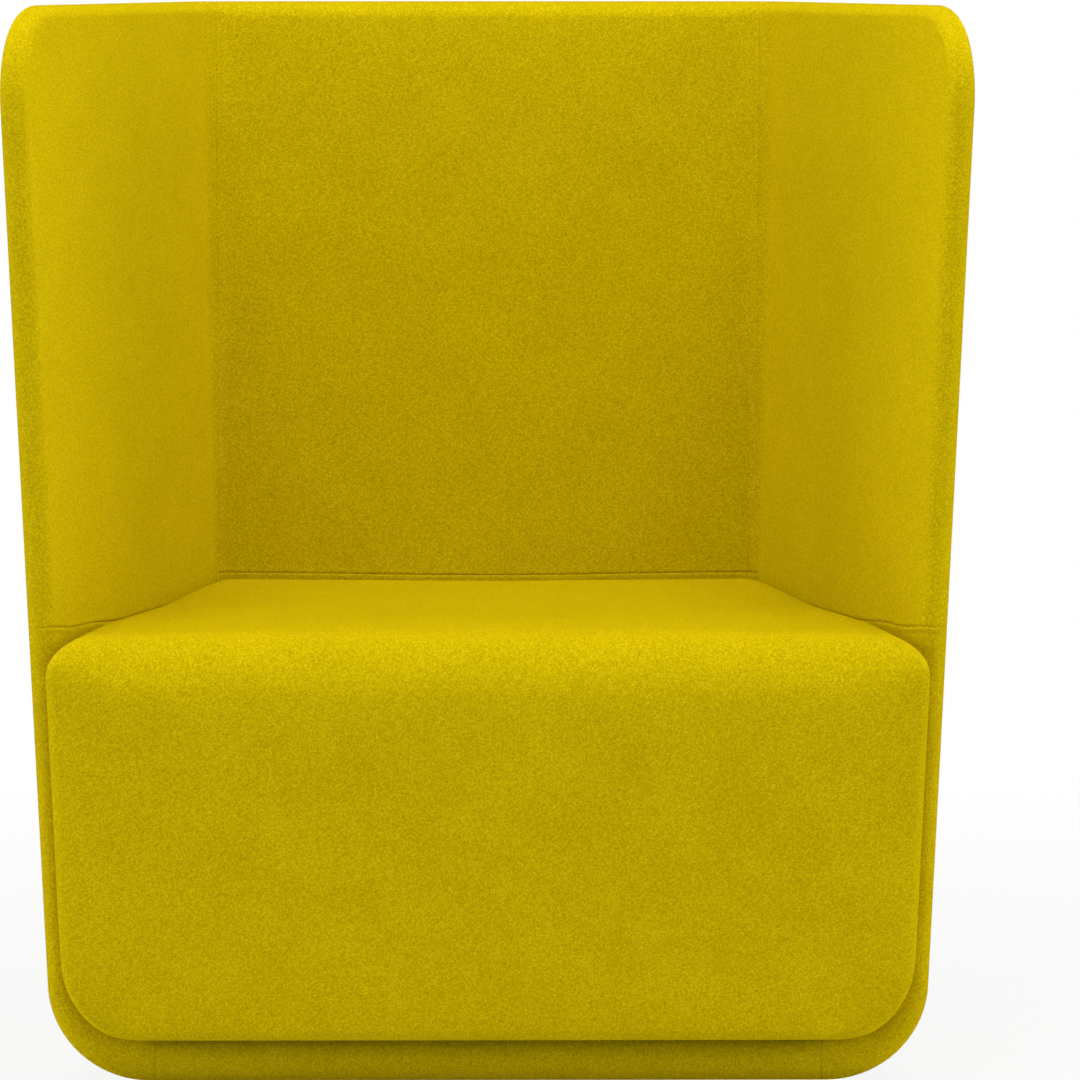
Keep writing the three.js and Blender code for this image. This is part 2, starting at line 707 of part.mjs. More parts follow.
// The seat block's foams: four sheets round the frame, a firm core on the deck and a soft crowned top
function addSeatFoams() {
  const filling = blockSolid(feltThickness, blockBottom + feltThickness, fillingGap);
  const frame = blockOutline(frameSideInset, frameFrontInset, boardBottom);
  const [, frontRight, rearRight] = frame;
  const [, edgeFront, edgeRear] = insetOutline(frame, -layerGap);
  const far = tubHalfWidth + overrun;
  const wrap = filling.intersect(slabSolid(-overrun, deckTop));
  const front = bandSolid(-far, edgeFront.y, -overrun, tubHeight);
  const rear = bandSolid(edgeRear.y, edgeRear.y + far, -overrun, tubHeight);
  const side = [
    linePoint(edgeFront, edgeRear, frontRight.y),
    new THREE.Vector2(far, frontRight.y),
    new THREE.Vector2(far, rearRight.y),
    linePoint(edgeFront, edgeRear, rearRight.y),
  ];
  const right = prismSolid(side, -overrun, tubHeight);
  const left = prismSolid(mirroredOutline(side), -overrun, tubHeight);
  Object.entries({ front, rear, left, right }).forEach(([name, space]) => {
    addPiece("seat_" + name + "_foam", wrap.intersect(space), foamFinish);
  });
  const core = filling.intersect(slabSolid(deckTop + layerGap, topFoamBottom - layerGap));
  addPiece("seat_core_foam", core, foamFinish);
  addPiece("seat_top_foam", filling.intersect(slabSolid(topFoamBottom, tubHeight)), foamFinish);
}

// The seat cover, open underneath, and the cloth that closes it
function addSeatCovers() {
  const shell = blockSolid(0, blockBottom).subtract(blockSolid(feltThickness, blockBottom + feltThickness));
  const opening = blockOutline(clothMargin, frameFrontInset, boardBottom);
  addPiece("seat_cover", shell.subtract(prismSolid(opening, -overrun, seatLevel / 2)), feltFinish);
  const cloth = insetOutline(opening, layerGap);
  const top = boardBottom - layerGap;
  const sheet = prismSolid(cloth, top - clothThickness, top);
  const pierced = withHoles(sheet, boltPoints, studRadius + studClearance, top, top);
  addPiece("seat_dust_cloth", pierced, clothFinish);
}

// Battens between the base and the block, each drilled for its two bolts
function addBattens() {
  const low = plyTop + layerGap;
  const high = boardBottom - clothThickness - 2 * layerGap;
  ends.forEach(({ name, boltY }) => {
    const reach = basePlace(1, boltY, boltSideInset - battenEndMargin).x;
    const front = boltY - battenDepth / 2;
    const rear = boltY + battenDepth / 2;
    const outline = [
      new THREE.Vector2(-reach, front),
      new THREE.Vector2(reach, front),
      new THREE.Vector2(reach, rear),
      new THREE.Vector2(-reach, rear),
    ];
    const bar = prismSolid(outline, low, high);
    const batten = withHoles(bar, boltPoints, studRadius + studClearance, low, high);
    addPiece("seat_" + name + "_batten", batten, plyFinish);
  });
}

// Bolts that hold the block down: up through the base, a batten and the board into a barrel nut
function addSeatBolts() {
  stations.forEach(({ name, bolt }) => {
    const headTop = plyUnder - layerGap;
    const boltEnd = boardTop - layerGap;
    const profile = [
      new THREE.Vector2(0, headTop - boltHeadHeight),
      new THREE.Vector2(boltHeadRadius, headTop - boltHeadHeight),
      new THREE.Vector2(boltHeadRadius, headTop),
      new THREE.Vector2(studRadius, headTop),
      new THREE.Vector2(studRadius, boltEnd),
      new THREE.Vector2(0, boltEnd),
    ];
    addPiece("seat_bolt_" + name, turnedSolid(bolt.x, bolt.y, profile), steelFinish);
    addPiece("seat_barrel_nut_" + name, flangedNut(bolt, boardBottom, boardTop), steelFinish);
  });
}

// A threaded insert pressed into a board from above, with its flange on top
function flangedNut(place, low, high) {
  const bore = studRadius + studClearance;
  const seat = high + layerGap / 2;
  const profile = [
    new THREE.Vector2(bore, low),
    new THREE.Vector2(barrelRadius, low),
    new THREE.Vector2(barrelRadius, seat),
    new THREE.Vector2(flangeRadius, seat),
    new THREE.Vector2(flangeRadius, seat + flangeThickness),
    new THREE.Vector2(bore, seat + flangeThickness),
    new THREE.Vector2(bore, low),
  ];
  return turnedSolid(place.x, place.y, profile);
}

// Glides: a plastic foot with a stud that screws into an insert in the base
function addGlides() {
  stations.forEach(({ name, glide }) => {
    const foot = -glideLift;
    const footTop = foot + glideFootHeight;
    const profile = [
      new THREE.Vector2(0, foot),
      new THREE.Vector2(glideRadius - glideChamfer, foot),
      new THREE.Vector2(glideRadius, foot + glideChamfer),
      new THREE.Vector2(glideRadius, footTop),
      new THREE.Vector2(studRadius, footTop),
      new THREE.Vector2(studRadius, foot + glideStudRise),
      new THREE.Vector2(0, foot + glideStudRise),
    ];
    addPiece("glide_" + name, turnedSolid(glide.x, glide.y, profile), plasticFinish);
    addPiece("glide_insert_" + name, flangedNut(glide, plyUnder, plyTop), steelFinish);
  });
}

function buildChair() {
  const regions = {};
  ["base", ...panels].forEach((name) => {
    regions[name] = regionSolid(name, layerGap / 2);
  });
  const inside = insideSolid(-layerGap / 2);
  const outside = insideSolid(layerGap / 2);
  const foamLayer = tubLayer(foamOutside, true).subtract(tubLayer(foamInside, false));
  const feltLayer = tubLayer(rim, true).subtract(tubLayer(feltInside, true));
  addPanels(regions, tubLayer(plyFace, false));
  addStraps();
  addPadding(regions, foamLayer, inside, outside);
  addCovers(regions, feltLayer, inside, outside);
  addDustCover();
  addSeatFrame();
  addSeatFoams();
  addSeatCovers();
  addBattens();
  addSeatBolts();
  addGlides();
  const box = new THREE.Box3().setFromObject(chair);
  chair.position.set(0, -(box.min.y + box.max.y) / 2, -box.min.z);
}

buildChair();

export default chair;
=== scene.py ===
# Acoustic high back lounge chair: felt covers, seat cushion, underside, feet and a plain studio.
# Metres, +Z up, the chair faces -Y. Shell coordinates start y at the wings' front edge and z at the tub's
# underside.
import json
import math
import bpy
import numpy as np
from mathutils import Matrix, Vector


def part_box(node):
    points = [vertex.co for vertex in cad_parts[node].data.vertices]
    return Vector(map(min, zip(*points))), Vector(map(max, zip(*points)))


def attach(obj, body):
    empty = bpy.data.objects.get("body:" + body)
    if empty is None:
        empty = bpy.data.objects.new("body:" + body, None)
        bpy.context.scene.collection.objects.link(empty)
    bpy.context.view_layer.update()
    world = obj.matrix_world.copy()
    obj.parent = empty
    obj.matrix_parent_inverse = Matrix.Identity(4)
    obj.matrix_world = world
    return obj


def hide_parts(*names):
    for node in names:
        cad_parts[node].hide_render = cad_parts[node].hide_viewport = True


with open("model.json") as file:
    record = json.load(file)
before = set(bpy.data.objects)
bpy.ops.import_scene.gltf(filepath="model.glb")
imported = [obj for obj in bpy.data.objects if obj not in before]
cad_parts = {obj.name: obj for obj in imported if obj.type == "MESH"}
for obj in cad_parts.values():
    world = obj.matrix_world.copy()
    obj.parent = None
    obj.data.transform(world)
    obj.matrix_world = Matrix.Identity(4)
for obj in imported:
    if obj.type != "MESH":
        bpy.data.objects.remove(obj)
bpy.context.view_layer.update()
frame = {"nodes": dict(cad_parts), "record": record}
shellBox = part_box("front_edge_cover")
shellStart = np.array([0, shellBox[0].y, shellBox[0].z])
quarter = math.pi / 2
creaseAngle = math.radians(52)    # sharper edges than this are shaded as edges
noiseTurn = (0.62, 0.47, 0.35)    # radians, so that no face lies along the noise's own grid
print("frame loaded:", len(frame["nodes"]), "nodes")


# Meshes from whole arrays

def gridQuads(index):  # each quad joins four neighbours of a table of point numbers
    a, b = index[:-1, :-1], index[1:, :-1]
    c, d = index[1:, 1:], index[:-1, 1:]
    return np.stack([a, b, c, d], -1).reshape(-1, 4)


def numbered(shape):  # a table of point numbers
    return np.arange(np.prod(shape)).reshape(shape)


def circle(count):  # even angles round a circle
    return np.arange(count) * 2 * np.pi / count


def borderEdges(quads):  # edges that only one quad uses, in that quad's direction
    edges = np.concatenate([quads[:, [0, 1]], quads[:, [1, 2]], quads[:, [2, 3]], quads[:, [3, 0]]])
    edges = edges[edges[:, 0] != edges[:, 1]]
    key = np.sort(edges, 1)
    _, first, count = np.unique(key, axis=0, return_index=True, return_counts=True)
    return edges[first[count == 1]]


def signedVolume(points, quads):  # sum of a . (b x c) / 6 over both triangles of each quad
    a, b, c, d = (points[quads[:, i]] for i in range(4))
    return (np.einsum("ij,ij->i", a, np.cross(b, c)) + np.einsum("ij,ij->i", a, np.cross(c, d))).sum() / 6


def runLengths(points):  # the longest row and the longest column of a table of points
    rows = np.linalg.norm(np.diff(points, axis=0), axis=-1).sum(0)
    columns = np.linalg.norm(np.diff(points, axis=1), axis=-1).sum(1)
    return rows.max(), columns.max()


def addObject(name, data):  # an object in the scene
    thing = bpy.data.objects.new(name, data)
    bpy.context.scene.collection.objects.link(thing)
    return thing


def makeMesh(name, points, quads):  # a smooth closed mesh whose faces point outwards, without unused points
    if signedVolume(points, quads) < 0:
        quads = quads[:, ::-1]
    used, place = np.unique(quads, return_inverse=True)
    faces = [list(dict.fromkeys(quad)) for quad in place.reshape(-1, 4).tolist()]
    mesh = bpy.data.meshes.new(name)
    mesh.from_pydata(points[used].tolist(), [], [face for face in faces if len(face) > 2])
    mesh.validate()
    mesh.shade_smooth()
    mesh.set_sharp_from_angle(angle=creaseAngle)
    return addObject(name, mesh)


def makeSheet(name, face, back, quads):  # a face and a back with the same quads, closed round their border
    count = len(face)
    rim = borderEdges(quads)
    sides = np.stack([rim[:, 1], rim[:, 0], rim[:, 0] + count, rim[:, 1] + count], -1)
    allQuads = np.concatenate([quads, quads[:, ::-1] + count, sides])
    return makeMesh(name, np.concatenate([face, back]), allQuads)


finestGap = 1.3                   # even steps start this many times the last fine step away


def steps(start, end, spacing, fine, atStart=False, atEnd=False):  # even steps, finer beside a seam
    count = max(int(round(abs(end - start) / spacing)), 1)
    values = np.linspace(start, end, count + 1)
    sign = 1 if end > start else -1
    near = np.array(fine)
    if atStart:
        others = values[abs(values - start) > near[-1] * finestGap]
        values = np.concatenate([[start], start + sign * near, others])
    if atEnd:
        others = values[abs(values - end) > near[-1] * finestGap]
        values = np.concatenate([others, end - sign * near[::-1], [end]])
    return values


def runs(start, *stages):  # even steps from the start to the end of each stage in turn
    values = [np.array([float(start)])]
    for end, count in stages:
        values.append(np.linspace(values[-1][-1], end, count + 1)[1:])
    return np.concatenate(values)


def portion(value, start):  # how far value has come between start and start + 1, from 0 to 1
    return np.clip(value - start, 0, 1)


def smooth(low, high, value):  # 0 below low, 1 above high, and eased between
    share = np.clip((value - low) / (high - low), 0, 1)
    return share * share * (3 - 2 * share)


# Finishes

felt = {
    "colour": (0.474, 0.352, 0.0012),
    "dark": (0.322, 0.236, 0.0010),
    "light": (0.650, 0.500, 0.0040),
    "patch": (480, 3.0, 0.6),   # melange patches to a metre, and their noise's octaves and roughness
    "fleck": (1000, 2.0, 0.5),
    "stretch": (1, 0.4, 1),     # the patches are longer from front to back
    "fibre": (1400, 3.0, 0.6),
    "fibreCurl": 2.5,
    "drift": (14, 3.0, 0.5),
    "sheen": 0.68,
    "sheenTint": (1.0, 0.74, 0.004, 1),
    "bump": 0.0004,
    "fleckShare": 0.7,          # how much each counts in the tone, against the patches
    "fibreShare": 0.3,
    "tones": {"From_Min": 0.75, "From_Max": 1.25},    # that become the darkest and the lightest fibre
    "sheenRoughness": 0.5,
    "driftStops": ((0.3, (0.96, 0.96, 0.96)), (0.7, (1.03, 1.03, 1.03))),
    "patchBump": 0.8,           # how much the patches raise the face, against the fibres
}


def makeMaterial(name, roughness, metallic=0.0, specular=0.5):  # a material, its nodes and its shader
    material = bpy.data.materials.new(name)
    material.use_nodes = True
    shader = material.node_tree.nodes["Principled BSDF"]
    shader.inputs["Roughness"].default_value = roughness
    shader.inputs["Metallic"].default_value = metallic
    shader.inputs["Specular IOR Level"].default_value = specular
    return material, material.node_tree, shader


def addNode(tree, kind, **values):  # a node with its settings and named inputs; a socket is linked
    node = tree.nodes.new(kind)
    for key, value in values.items():
        if hasattr(node, key):
            setattr(node, key, value)
            continue
        entry = node.inputs[key.replace("_", " ")]
        if isinstance(value, bpy.types.NodeSocket):
            tree.links.new(value, entry)
        else:
            entry.default_value = value
    return node


# Noise over the object's own coordinates, turned by noiseTurn and stretched
def objectNoise(tree, scale, detail=2.0, roughness=0.5, stretch=(1, 1, 1), distortion=0.0):
    place = addNode(tree, "ShaderNodeTexCoord").outputs["Object"]
    turned = addNode(tree, "ShaderNodeMapping", Scale=stretch, Rotation=noiseTurn, Vector=place)
    values = {"Scale": scale, "Detail": detail, "Roughness": roughness, "Distortion": distortion}
    return addNode(tree, "ShaderNodeTexNoise", Vector=turned.outputs["Vector"], **values).outputs["Fac"]


def rampOf(tree, source, stops):  # a colour between stops of place and colour
    ramp = addNode(tree, "ShaderNodeValToRGB", Fac=source)
    elements = ramp.color_ramp.elements
    while len(elements) < len(stops):
        elements.new(0.5)
    for element, (place, colour) in zip(elements, stops):
        element.position = place
        element.color = (*colour, 1)
    return ramp.outputs["Color"]


def multiplyColours(tree, first, second):  # first x second
    mix = addNode(tree, "ShaderNodeMix", data_type="RGBA", blend_type="MULTIPLY")
    mix.inputs[0].default_value = 1
    tree.links.new(first, mix.inputs[6])
    tree.links.new(second, mix.inputs[7])
    return mix.outputs[2]


def addBump(tree, shader, height, distance):  # raises the shaded face by height x distance
    bump = addNode(tree, "ShaderNodeBump", Strength=1.0, Distance=distance, Height=height)
    tree.links.new(bump.outputs["Normal"], shader.inputs["Normal"])


def addValues(tree, first, second, share):  # first + share * second
    total = addNode(tree, "ShaderNodeMath", operation="MULTIPLY_ADD")
    total.inputs[1].default_value = share
    tree.links.new(second, total.inputs[0])
    tree.links.new(first, total.inputs[2])
    return total.outputs[0]


# Milled wool felt: patches of lighter and darker fibre, flecks, matted fibres, a slow drift of tone and a nap
def makeFelt():
    material, tree, shader = makeMaterial("wool_felt", 1.0, specular=0.0)
    patches = objectNoise(tree, *felt["patch"], felt["stretch"])
    flecks = objectNoise(tree, *felt["fleck"], felt["stretch"])
    fibres = objectNoise(tree, *felt["fibre"], distortion=felt["fibreCurl"])
    drift = objectNoise(tree, *felt["drift"])
    tone = addValues(tree, addValues(tree, patches, flecks, felt["fleckShare"]), fibres, felt["fibreShare"])
    spread = addNode(tree, "ShaderNodeMapRange", Value=tone, **felt["tones"])
    stops = [(0.0, felt["dark"]), (0.5, felt["colour"]), (1.0, felt["light"])]
    colour = rampOf(tree, spread.outputs["Result"], stops)
    slow = rampOf(tree, drift, felt["driftStops"])
    tree.links.new(multiplyColours(tree, colour, slow), shader.inputs["Base Color"])
    shader.inputs["Sheen Weight"].default_value = felt["sheen"]
    shader.inputs["Sheen Roughness"].default_value = felt["sheenRoughness"]
    shader.inputs["Sheen Tint"].default_value = felt["sheenTint"]
    addBump(tree, shader, addValues(tree, fibres, patches, felt["patchBump"]), felt["bump"])
    return material


plain = {
    "noise": (4.0, 0.6),                  # octaves and roughness of the grain
    "stops": ((0.3, 0.82), (0.7, 1.12)),  # places on its ramp, and shares of the colour there
}


# A plain colour, darker and lighter by its grain
def makePlain(name, colour, roughness, metallic=0.0, specular=0.4, grain=300, stretch=(1, 1, 1), bump=0.0001):
    material, tree, shader = makeMaterial(name, roughness, metallic, specular)
    noise = objectNoise(tree, grain, *plain["noise"], stretch)
    stops = [(place, [min(channel * share, 1) for channel in colour]) for place, share in plain["stops"]]
    tree.links.new(rampOf(tree, noise, stops), shader.inputs["Base Color"])
    addBump(tree, shader, noise, bump)
    return material


finishes = {
    "pu_foam": makePlain("pu_foam", (0.69, 0.65, 0.52), 0.9, grain=900, bump=0.0003),
    "birch_ply": makePlain("birch_ply", (0.58, 0.40, 0.20), 0.6, grain=40, stretch=(1, 8, 8)),
    "dust_cloth": makePlain("dust_cloth", (0.014, 0.014, 0.014), 0.95, specular=0.1, grain=900, bump=0.0003),
    "zinc_steel": makePlain("zinc_steel", (0.48, 0.50, 0.52), 0.35, 1.0, grain=500, bump=0.00002),
    "black_nylon": makePlain("black_nylon", (0.020, 0.020, 0.022), 0.45, grain=1200, bump=0.00003),
    "wool_felt": makeFelt(),
}


def dressPiece(piece, nodes, slotName, body="chair_body"):  # a piece's finish, body, nodes and slot
    piece.data.materials.clear()
    piece.data.materials.append(finishes[slotName])
    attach(piece, body)
    if nodes:
        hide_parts(*nodes)
    return piece


# The tub's wall

tub = {
    "height": 1.078,            # underside to the top of the wings and back
    "halfWidth": 0.438,         # outer face of a wing's front edge, carried down to the underside
    "seatLevel": 0.453,
    "innerDepth": 0.550,        # wings' front edge to the face of the back, at the seat
    "flare": math.radians(2.7),
    "splay": math.radians(14.5),
    "recline": math.radians(7),
    "half": 0.014,              # half the wall, and the radius of its rounded edge
    "felt": 0.002,
    "backPadding": 0.026,
    "floorPadding": 0.018,      # along the floor's front edge and in the bends
    "bendRadius": 0.100,
    "planCorner": 0.100,
    "wingCorner": 0.100,
    "innerCornerLow": 0.012,
    "innerCornerHigh": 0.045,
    "leastRadius": 0.003,
    "backRollDrop": 0.006,
    "stripDepth": 0.060,        # how far the front edge's cover reaches back
    "seamGap": 0.0003,
    "spacing": 0.010,           # mesh size
    "crownSpacing": 0.002,      # and on the rolled edge
}
sinSplay, cosSplay = math.sin(tub["splay"]), math.cos(tub["splay"])
rimTop = tub["height"] - tub["half"]
wingTurn = tub["wingCorner"] - tub["half"]

seam = {
    "fine": (0.0003, 0.0008, 0.0015, 0.0024, 0.0040, 0.0065),
    "level": (0.0013, 0.0007),      # how far from a seam the felt starts to turn in, and how deep it goes
    "outside": (0.0022, 0.0012),
    "inside": (0.0014, 0.0007),
    "crown": (0.0007, 0.0002),
    "ridge": 0.0004,                # swelling beside the level seam
    "ridgeAt": 0.0030,
    "ridgeWidth": 0.0020,
    "pleat": 0.0010,                # tension pleats under the level seam, near the wings' front
    "pleatSpacing": 0.0063,
    "pleatReach": 0.100,
    "pleatFade": 2.5,               # pleats over which they fade away downwards
    "places": (0, 1.0, 1.3, 1.95, 2.4, 3.0, 4.0),    # the level seam's height: it dips along the wings
    "heights": (0.4600, 0.4530, 0.4455, 0.4440, 0.4625, 0.4630, 0.4600),
}
seamMiddle = seam["heights"][0]


def seamHeight(u):  # from knot to knot with an eased rise
    folded = 4 - abs(4 - u)
    place, height = np.array(seam["places"]), np.array(seam["heights"])
    knot = np.clip(np.searchsorted(place, folded, side="right") - 1, 0, len(place) - 2)
    rise = smooth(place[knot], place[knot + 1], folded)
    return height[knot] + (height[knot + 1] - height[knot]) * rise


def sideLine(z, n):  # x cos(splay) + y sin(splay) of a wing's sheet: it leans out by the flare
    middle = (tub["halfWidth"] - tub["half"] + z * math.tan(tub["flare"])) * cosSplay
    return middle + tub["half"] * sinSplay + n / math.cos(tub["flare"])


def backLine(z, n, padded):  # y of the back's sheet: it leans back by the recline
    lean = tub["recline"]
    middle = tub["innerDepth"] + tub["backPadding"] + tub["half"] / math.cos(lean)
    return middle + (z - tub["seatLevel"]) * math.tan(lean) + n / math.cos(lean) - padded * tub["backPadding"]


def cornerRadius(z, n, padded):  # round outside; inside it opens from the seam to the top
    rise = np.clip((z - seamMiddle) / (tub["height"] - seamMiddle), 0, 1)
    tight = tub["innerCornerLow"] + (tub["innerCornerHigh"] - tub["innerCornerLow"]) * rise
    return tight + tub["half"] + n if padded else tub["planCorner"] - tub["half"] + n


borderSide = sideLine(0, 0) - wingTurn
borderBack = backLine(0, 0, False) - wingTurn


def baseEdge(y, inset=0.0):  # half width of the base panel, whose sides run with the wings
    return (borderSide - inset - y * sinSplay) / cosSplay


def wallHeights(u, v, n, padded, lean, line, border):  # inset, height and line height of a wall with its bend
    full = quarter - lean
    floorZ = tub["half"] - n + padded * tub["floorPadding"]
    radius = tub["bendRadius"] - tub["half"] + n
    bend = portion(v, 0)
    bendZ = floorZ + radius * (1 - np.cos(bend * full))
    corner = wingTurn * (1 - np.sin(portion(u, 0) * quarter))
    top = rimTop - corner - tub["backRollDrop"] * portion(u, 2)
    level = seamHeight(u)
    z = bendZ + (level - bendZ) * portion(v, 1) + (top - level) * portion(v, 2)
    run = np.maximum(line(floorZ) - radius * math.tan(full / 2) - border, tub["felt"])
    inset = radius * (math.tan(full / 2) - np.sin(bend * full)) + run * np.clip(-v, 0, 1)
    return np.where(v < 1, inset, 0), z, np.where(v < 1, floorZ, z)


# u runs round the plan: 0 to 1 the wing's rounded front corner, 1 to 2 the wing, 2 to 3 the rear corner's
# arc, 3 to 4 the back to its middle. v runs up: -1 to 0 floor, 0 to 1 bend, 1 to 2 up to the seam, 2 to 3 to
# the top.
# n is the distance from the wall's middle, outwards. A padded face has the back's and the floor's extra foam.
# x, y lie on the wing's line, on the arc that joins it to the back's line, or on the back's line.
def shellPoint(u, v, n, padded):
    u, v, n = np.broadcast_arrays(u, v, n)
    mirror = np.where(u > 4, -1, 1)
    u = np.where(u > 4, 8 - u, u)
    sideWall = wallHeights(u, v, n, padded, tub["flare"], lambda z: sideLine(z, n), borderSide)
    backWall = wallHeights(u, v, n, padded, tub["recline"], lambda z: backLine(z, n, padded), borderBack)
    sideInset, sideZ, sideBase = sideWall
    backInset, backZ, backBase = backWall
    side = sideLine(sideBase, n) - sideInset
    back = backLine(backBase, n, padded) - backInset
    setback = wingTurn * (1 - np.cos(portion(u, 0) * quarter))
    wingY = tub["half"] + n * sinSplay * portion(v, 0) + setback * cosSplay
    wingX = (side - wingY * sinSplay) / cosSplay
    radius = np.maximum(cornerRadius(sideZ, n, padded) - np.maximum(sideInset, 0), tub["leastRadius"])
    centreY = back - radius
    centreX = (side - radius - centreY * sinSplay) / cosSplay
    corner = portion(u, 2)
    angle = tub["splay"] + (quarter - tub["splay"]) * corner
    share = portion(u, 1)
    x = wingX + (centreX + radius * np.cos(angle) - wingX) * share
    y = wingY + (centreY + radius * np.sin(angle) - wingY) * share
    z = sideZ + (backZ - sideZ) * corner
    return np.stack([mirror * x * (1 - portion(u, 3)), y, z], -1)


# A half ellipse from the outer sheet's edge (turn 0) over the crown (90 degrees) to the inner sheet's edge
# (180 degrees).
def rollPoint(u, v, turn, half):
    line = shellPoint(u[:, 0], v[:, 0], tub["half"], False) + shellPoint(u[:, 0], v[:, 0], -tub["half"], True)
    along = np.gradient(line, axis=0)[:, None, :]
    outer = shellPoint(u, v, half, False)
    inner = shellPoint(u, v, -half, True)
    across = (outer - inner) / 2
    out = np.cross(across, np.broadcast_to(along, across.shape))
    folded = 4 - abs(4 - u)
    swell = half * (1 + tub["backRollDrop"] / tub["half"] * portion(folded, 2))
    out *= (swell / np.linalg.norm(out, axis=-1))[..., None]
    return (outer + inner) / 2 + across * np.cos(turn)[..., None] + out * np.sin(turn)[..., None]


def curl(distance, kind):  # a quarter circle that sinks the felt's face into the seam
    width, depth = seam[kind]
    share = np.clip(1 - distance / width, 0, 1)
    return depth * (1 - np.sqrt(1 - share * share))


def splitDistance(u, v, n, padded):  # along the arc to the upright seam in the middle of the rear corner
    folded = 4 - abs(4 - u)
    z = shellPoint(u, v, n, padded)[..., 2]
    radius = np.maximum(cornerRadius(z, n, padded), tub["leastRadius"])
    return abs(folded - 2.5) * (quarter - tub["splay"]) * radius


# Swelling beside the level seam, and pleats under it that fade away from the front
def levelRelief(u, v, above):
    place = shellPoint(u, v, -tub["half"], True)
    distance = abs(place[..., 2] - seamHeight(u))
    ridge = seam["ridge"] * np.exp(-((distance - seam["ridgeAt"]) / seam["ridgeWidth"]) ** 2)
    if above:
        return curl(distance, "level") - ridge
    near = 1 - smooth(0, seam["pleatReach"], place[..., 1])
    fade = np.exp(-distance / (seam["pleatFade"] * seam["pleatSpacing"]))
    wave = np.cos(2 * np.pi * distance / seam["pleatSpacing"]) * fade
    pleats = seam["pleat"] * near * wave * smooth(0, seam["level"][0], distance)
    return curl(distance, "level") - ridge * (1 - near) + pleats


# One felt cover: a grid of the wall's sheet, and the roll that carries it on to the crown's seam.
def coverArrays(us, vs, side, bordered):
    outside = side == "outer"
    sign = 1 if outside else -1
    u, v = np.meshgrid(us, vs, indexing="ij")
    wallDepth = curl(splitDistance(u, v, sign * tub["half"], not outside), "outside" if outside else "inside")
    if bordered:
        wallDepth = wallDepth + levelRelief(u, v, bordered == "above")
    front = us[0] == 0
    top = vs[-1] == 3
    index = numbered(u.shape)
    pathIndex = index[0] if front else index[0, :0]
    pathIndex = np.concatenate([pathIndex, index[1:, -1] if front else index[:, -1]]) if top else pathIndex
    pathU, pathV = u.ravel()[pathIndex], v.ravel()[pathIndex]
    crown = steps(0, tub["half"] * quarter, tub["crownSpacing"], seam["fine"], atEnd=True)
    turn = crown / tub["half"] if outside else np.pi - crown / tub["half"]
    rollU, rollV = (np.repeat(path[:, None], len(turn), 1) for path in (pathU, pathV))
    rollTurn = np.broadcast_to(turn, rollU.shape)
    rollDepth = wallDepth.ravel()[pathIndex][:, None] + curl(crown[-1] - crown, "crown")[None, :]
    rollIndex = u.size + numbered((len(pathIndex), len(turn) - 1))
    rollIndex = np.concatenate([pathIndex[:, None], rollIndex], 1)
    quads = np.concatenate([gridQuads(index), gridQuads(rollIndex)[:, ::-1]])

    def surface(wall, roll):
        points = shellPoint(u, v, sign * (tub["half"] - wall), not outside).reshape(-1, 3)
        if len(pathIndex) == 0:
            return points
        rolled = rollPoint(rollU, rollV, rollTurn, tub["half"] - roll)[:, 1:].reshape(-1, 3)
        return np.concatenate([points, rolled])

    inside = tub["felt"]
    rolled = rollPoint(rollU, rollV, rollTurn, tub["half"] - rollDepth) if len(pathIndex) else None
    rollRun = 0.0 if rolled is None else runLengths(rolled)[1]
    return surface(wallDepth, rollDepth), surface(inside, inside), quads, rollRun


# A cover in its place, mirrored for the left wing.
def makeCover(name, us, vs, side, bordered=None, mirrored=False):
    face, back, quads, rollRun = coverArrays(us, vs, side, bordered)
    flip = np.array([-1 if mirrored else 1, 1, 1])
    piece = makeSheet(name + "_felt", face * flip + shellStart, back * flip + shellStart, quads)
    dressPiece(piece, [name], "wool_felt")


# Columns and levels of the covers, from the right wing's front edge round to the middle of the back

grid = {                        # steps of each stretch
    "frontCorner": 18,
    "wing": 47,
    "arc": 26,
    "back": 29,
    "floor": 2,
    "bend": 18,
    "outerLower": 34,
    "outerUpper": 61,
    "beyondFine": (0.009, 0.012, 0.015, 0.018),    # from the seam's fine steps to the mesh size
    "middlingCorner": 0.035,    # radius of the inner corner, half way up
    "strip": 40,
    "stripTurn": 24,
}
arcSpan = quarter - tub["splay"]
fineArc = {
    "outer": np.array(seam["fine"]) / (arcSpan * tub["planCorner"]),
    "inner": np.array(seam["fine"]) / (arcSpan * grid["middlingCorner"]),
}


def wingRange(side):  # columns of a wing, ending finely at the upright seam
    arc = steps(2, 2.5, 1 / grid["arc"], fineArc[side], atEnd=True)
    return np.concatenate([runs(0, (1, grid["frontCorner"]), (2, grid["wing"])), arc[1:]])


def backRange(side):  # columns of the back, from seam to seam
    arc = steps(2.5, 3, 1 / grid["arc"], fineArc[side], atStart=True)
    half = np.concatenate([arc, runs(3, (4, grid["back"]))[1:]])
    return np.concatenate([half, 8 - half[-2::-1]])


def levelRange(kind):  # levels of an outer cover, an inner cover or a lining
    low = ((0, grid["floor"]), (1, grid["bend"]))
    upperSpan = rimTop - seamMiddle
    lowerSpan = seamMiddle - tub["bendRadius"]
    near = np.array(seam["fine"] + grid["beyondFine"])
    if kind == "outer":
        return runs(-1, *low, (2, grid["outerLower"]), (3, grid["outerUpper"]))
    if kind == "inner":
        return steps(2, 3, tub["spacing"] / upperSpan, near / upperSpan, atStart=True)
    lower = steps(1, 2, tub["spacing"] / lowerSpan, near / lowerSpan, atEnd=True)
    return np.concatenate([runs(-1, *low), lower[1:]])


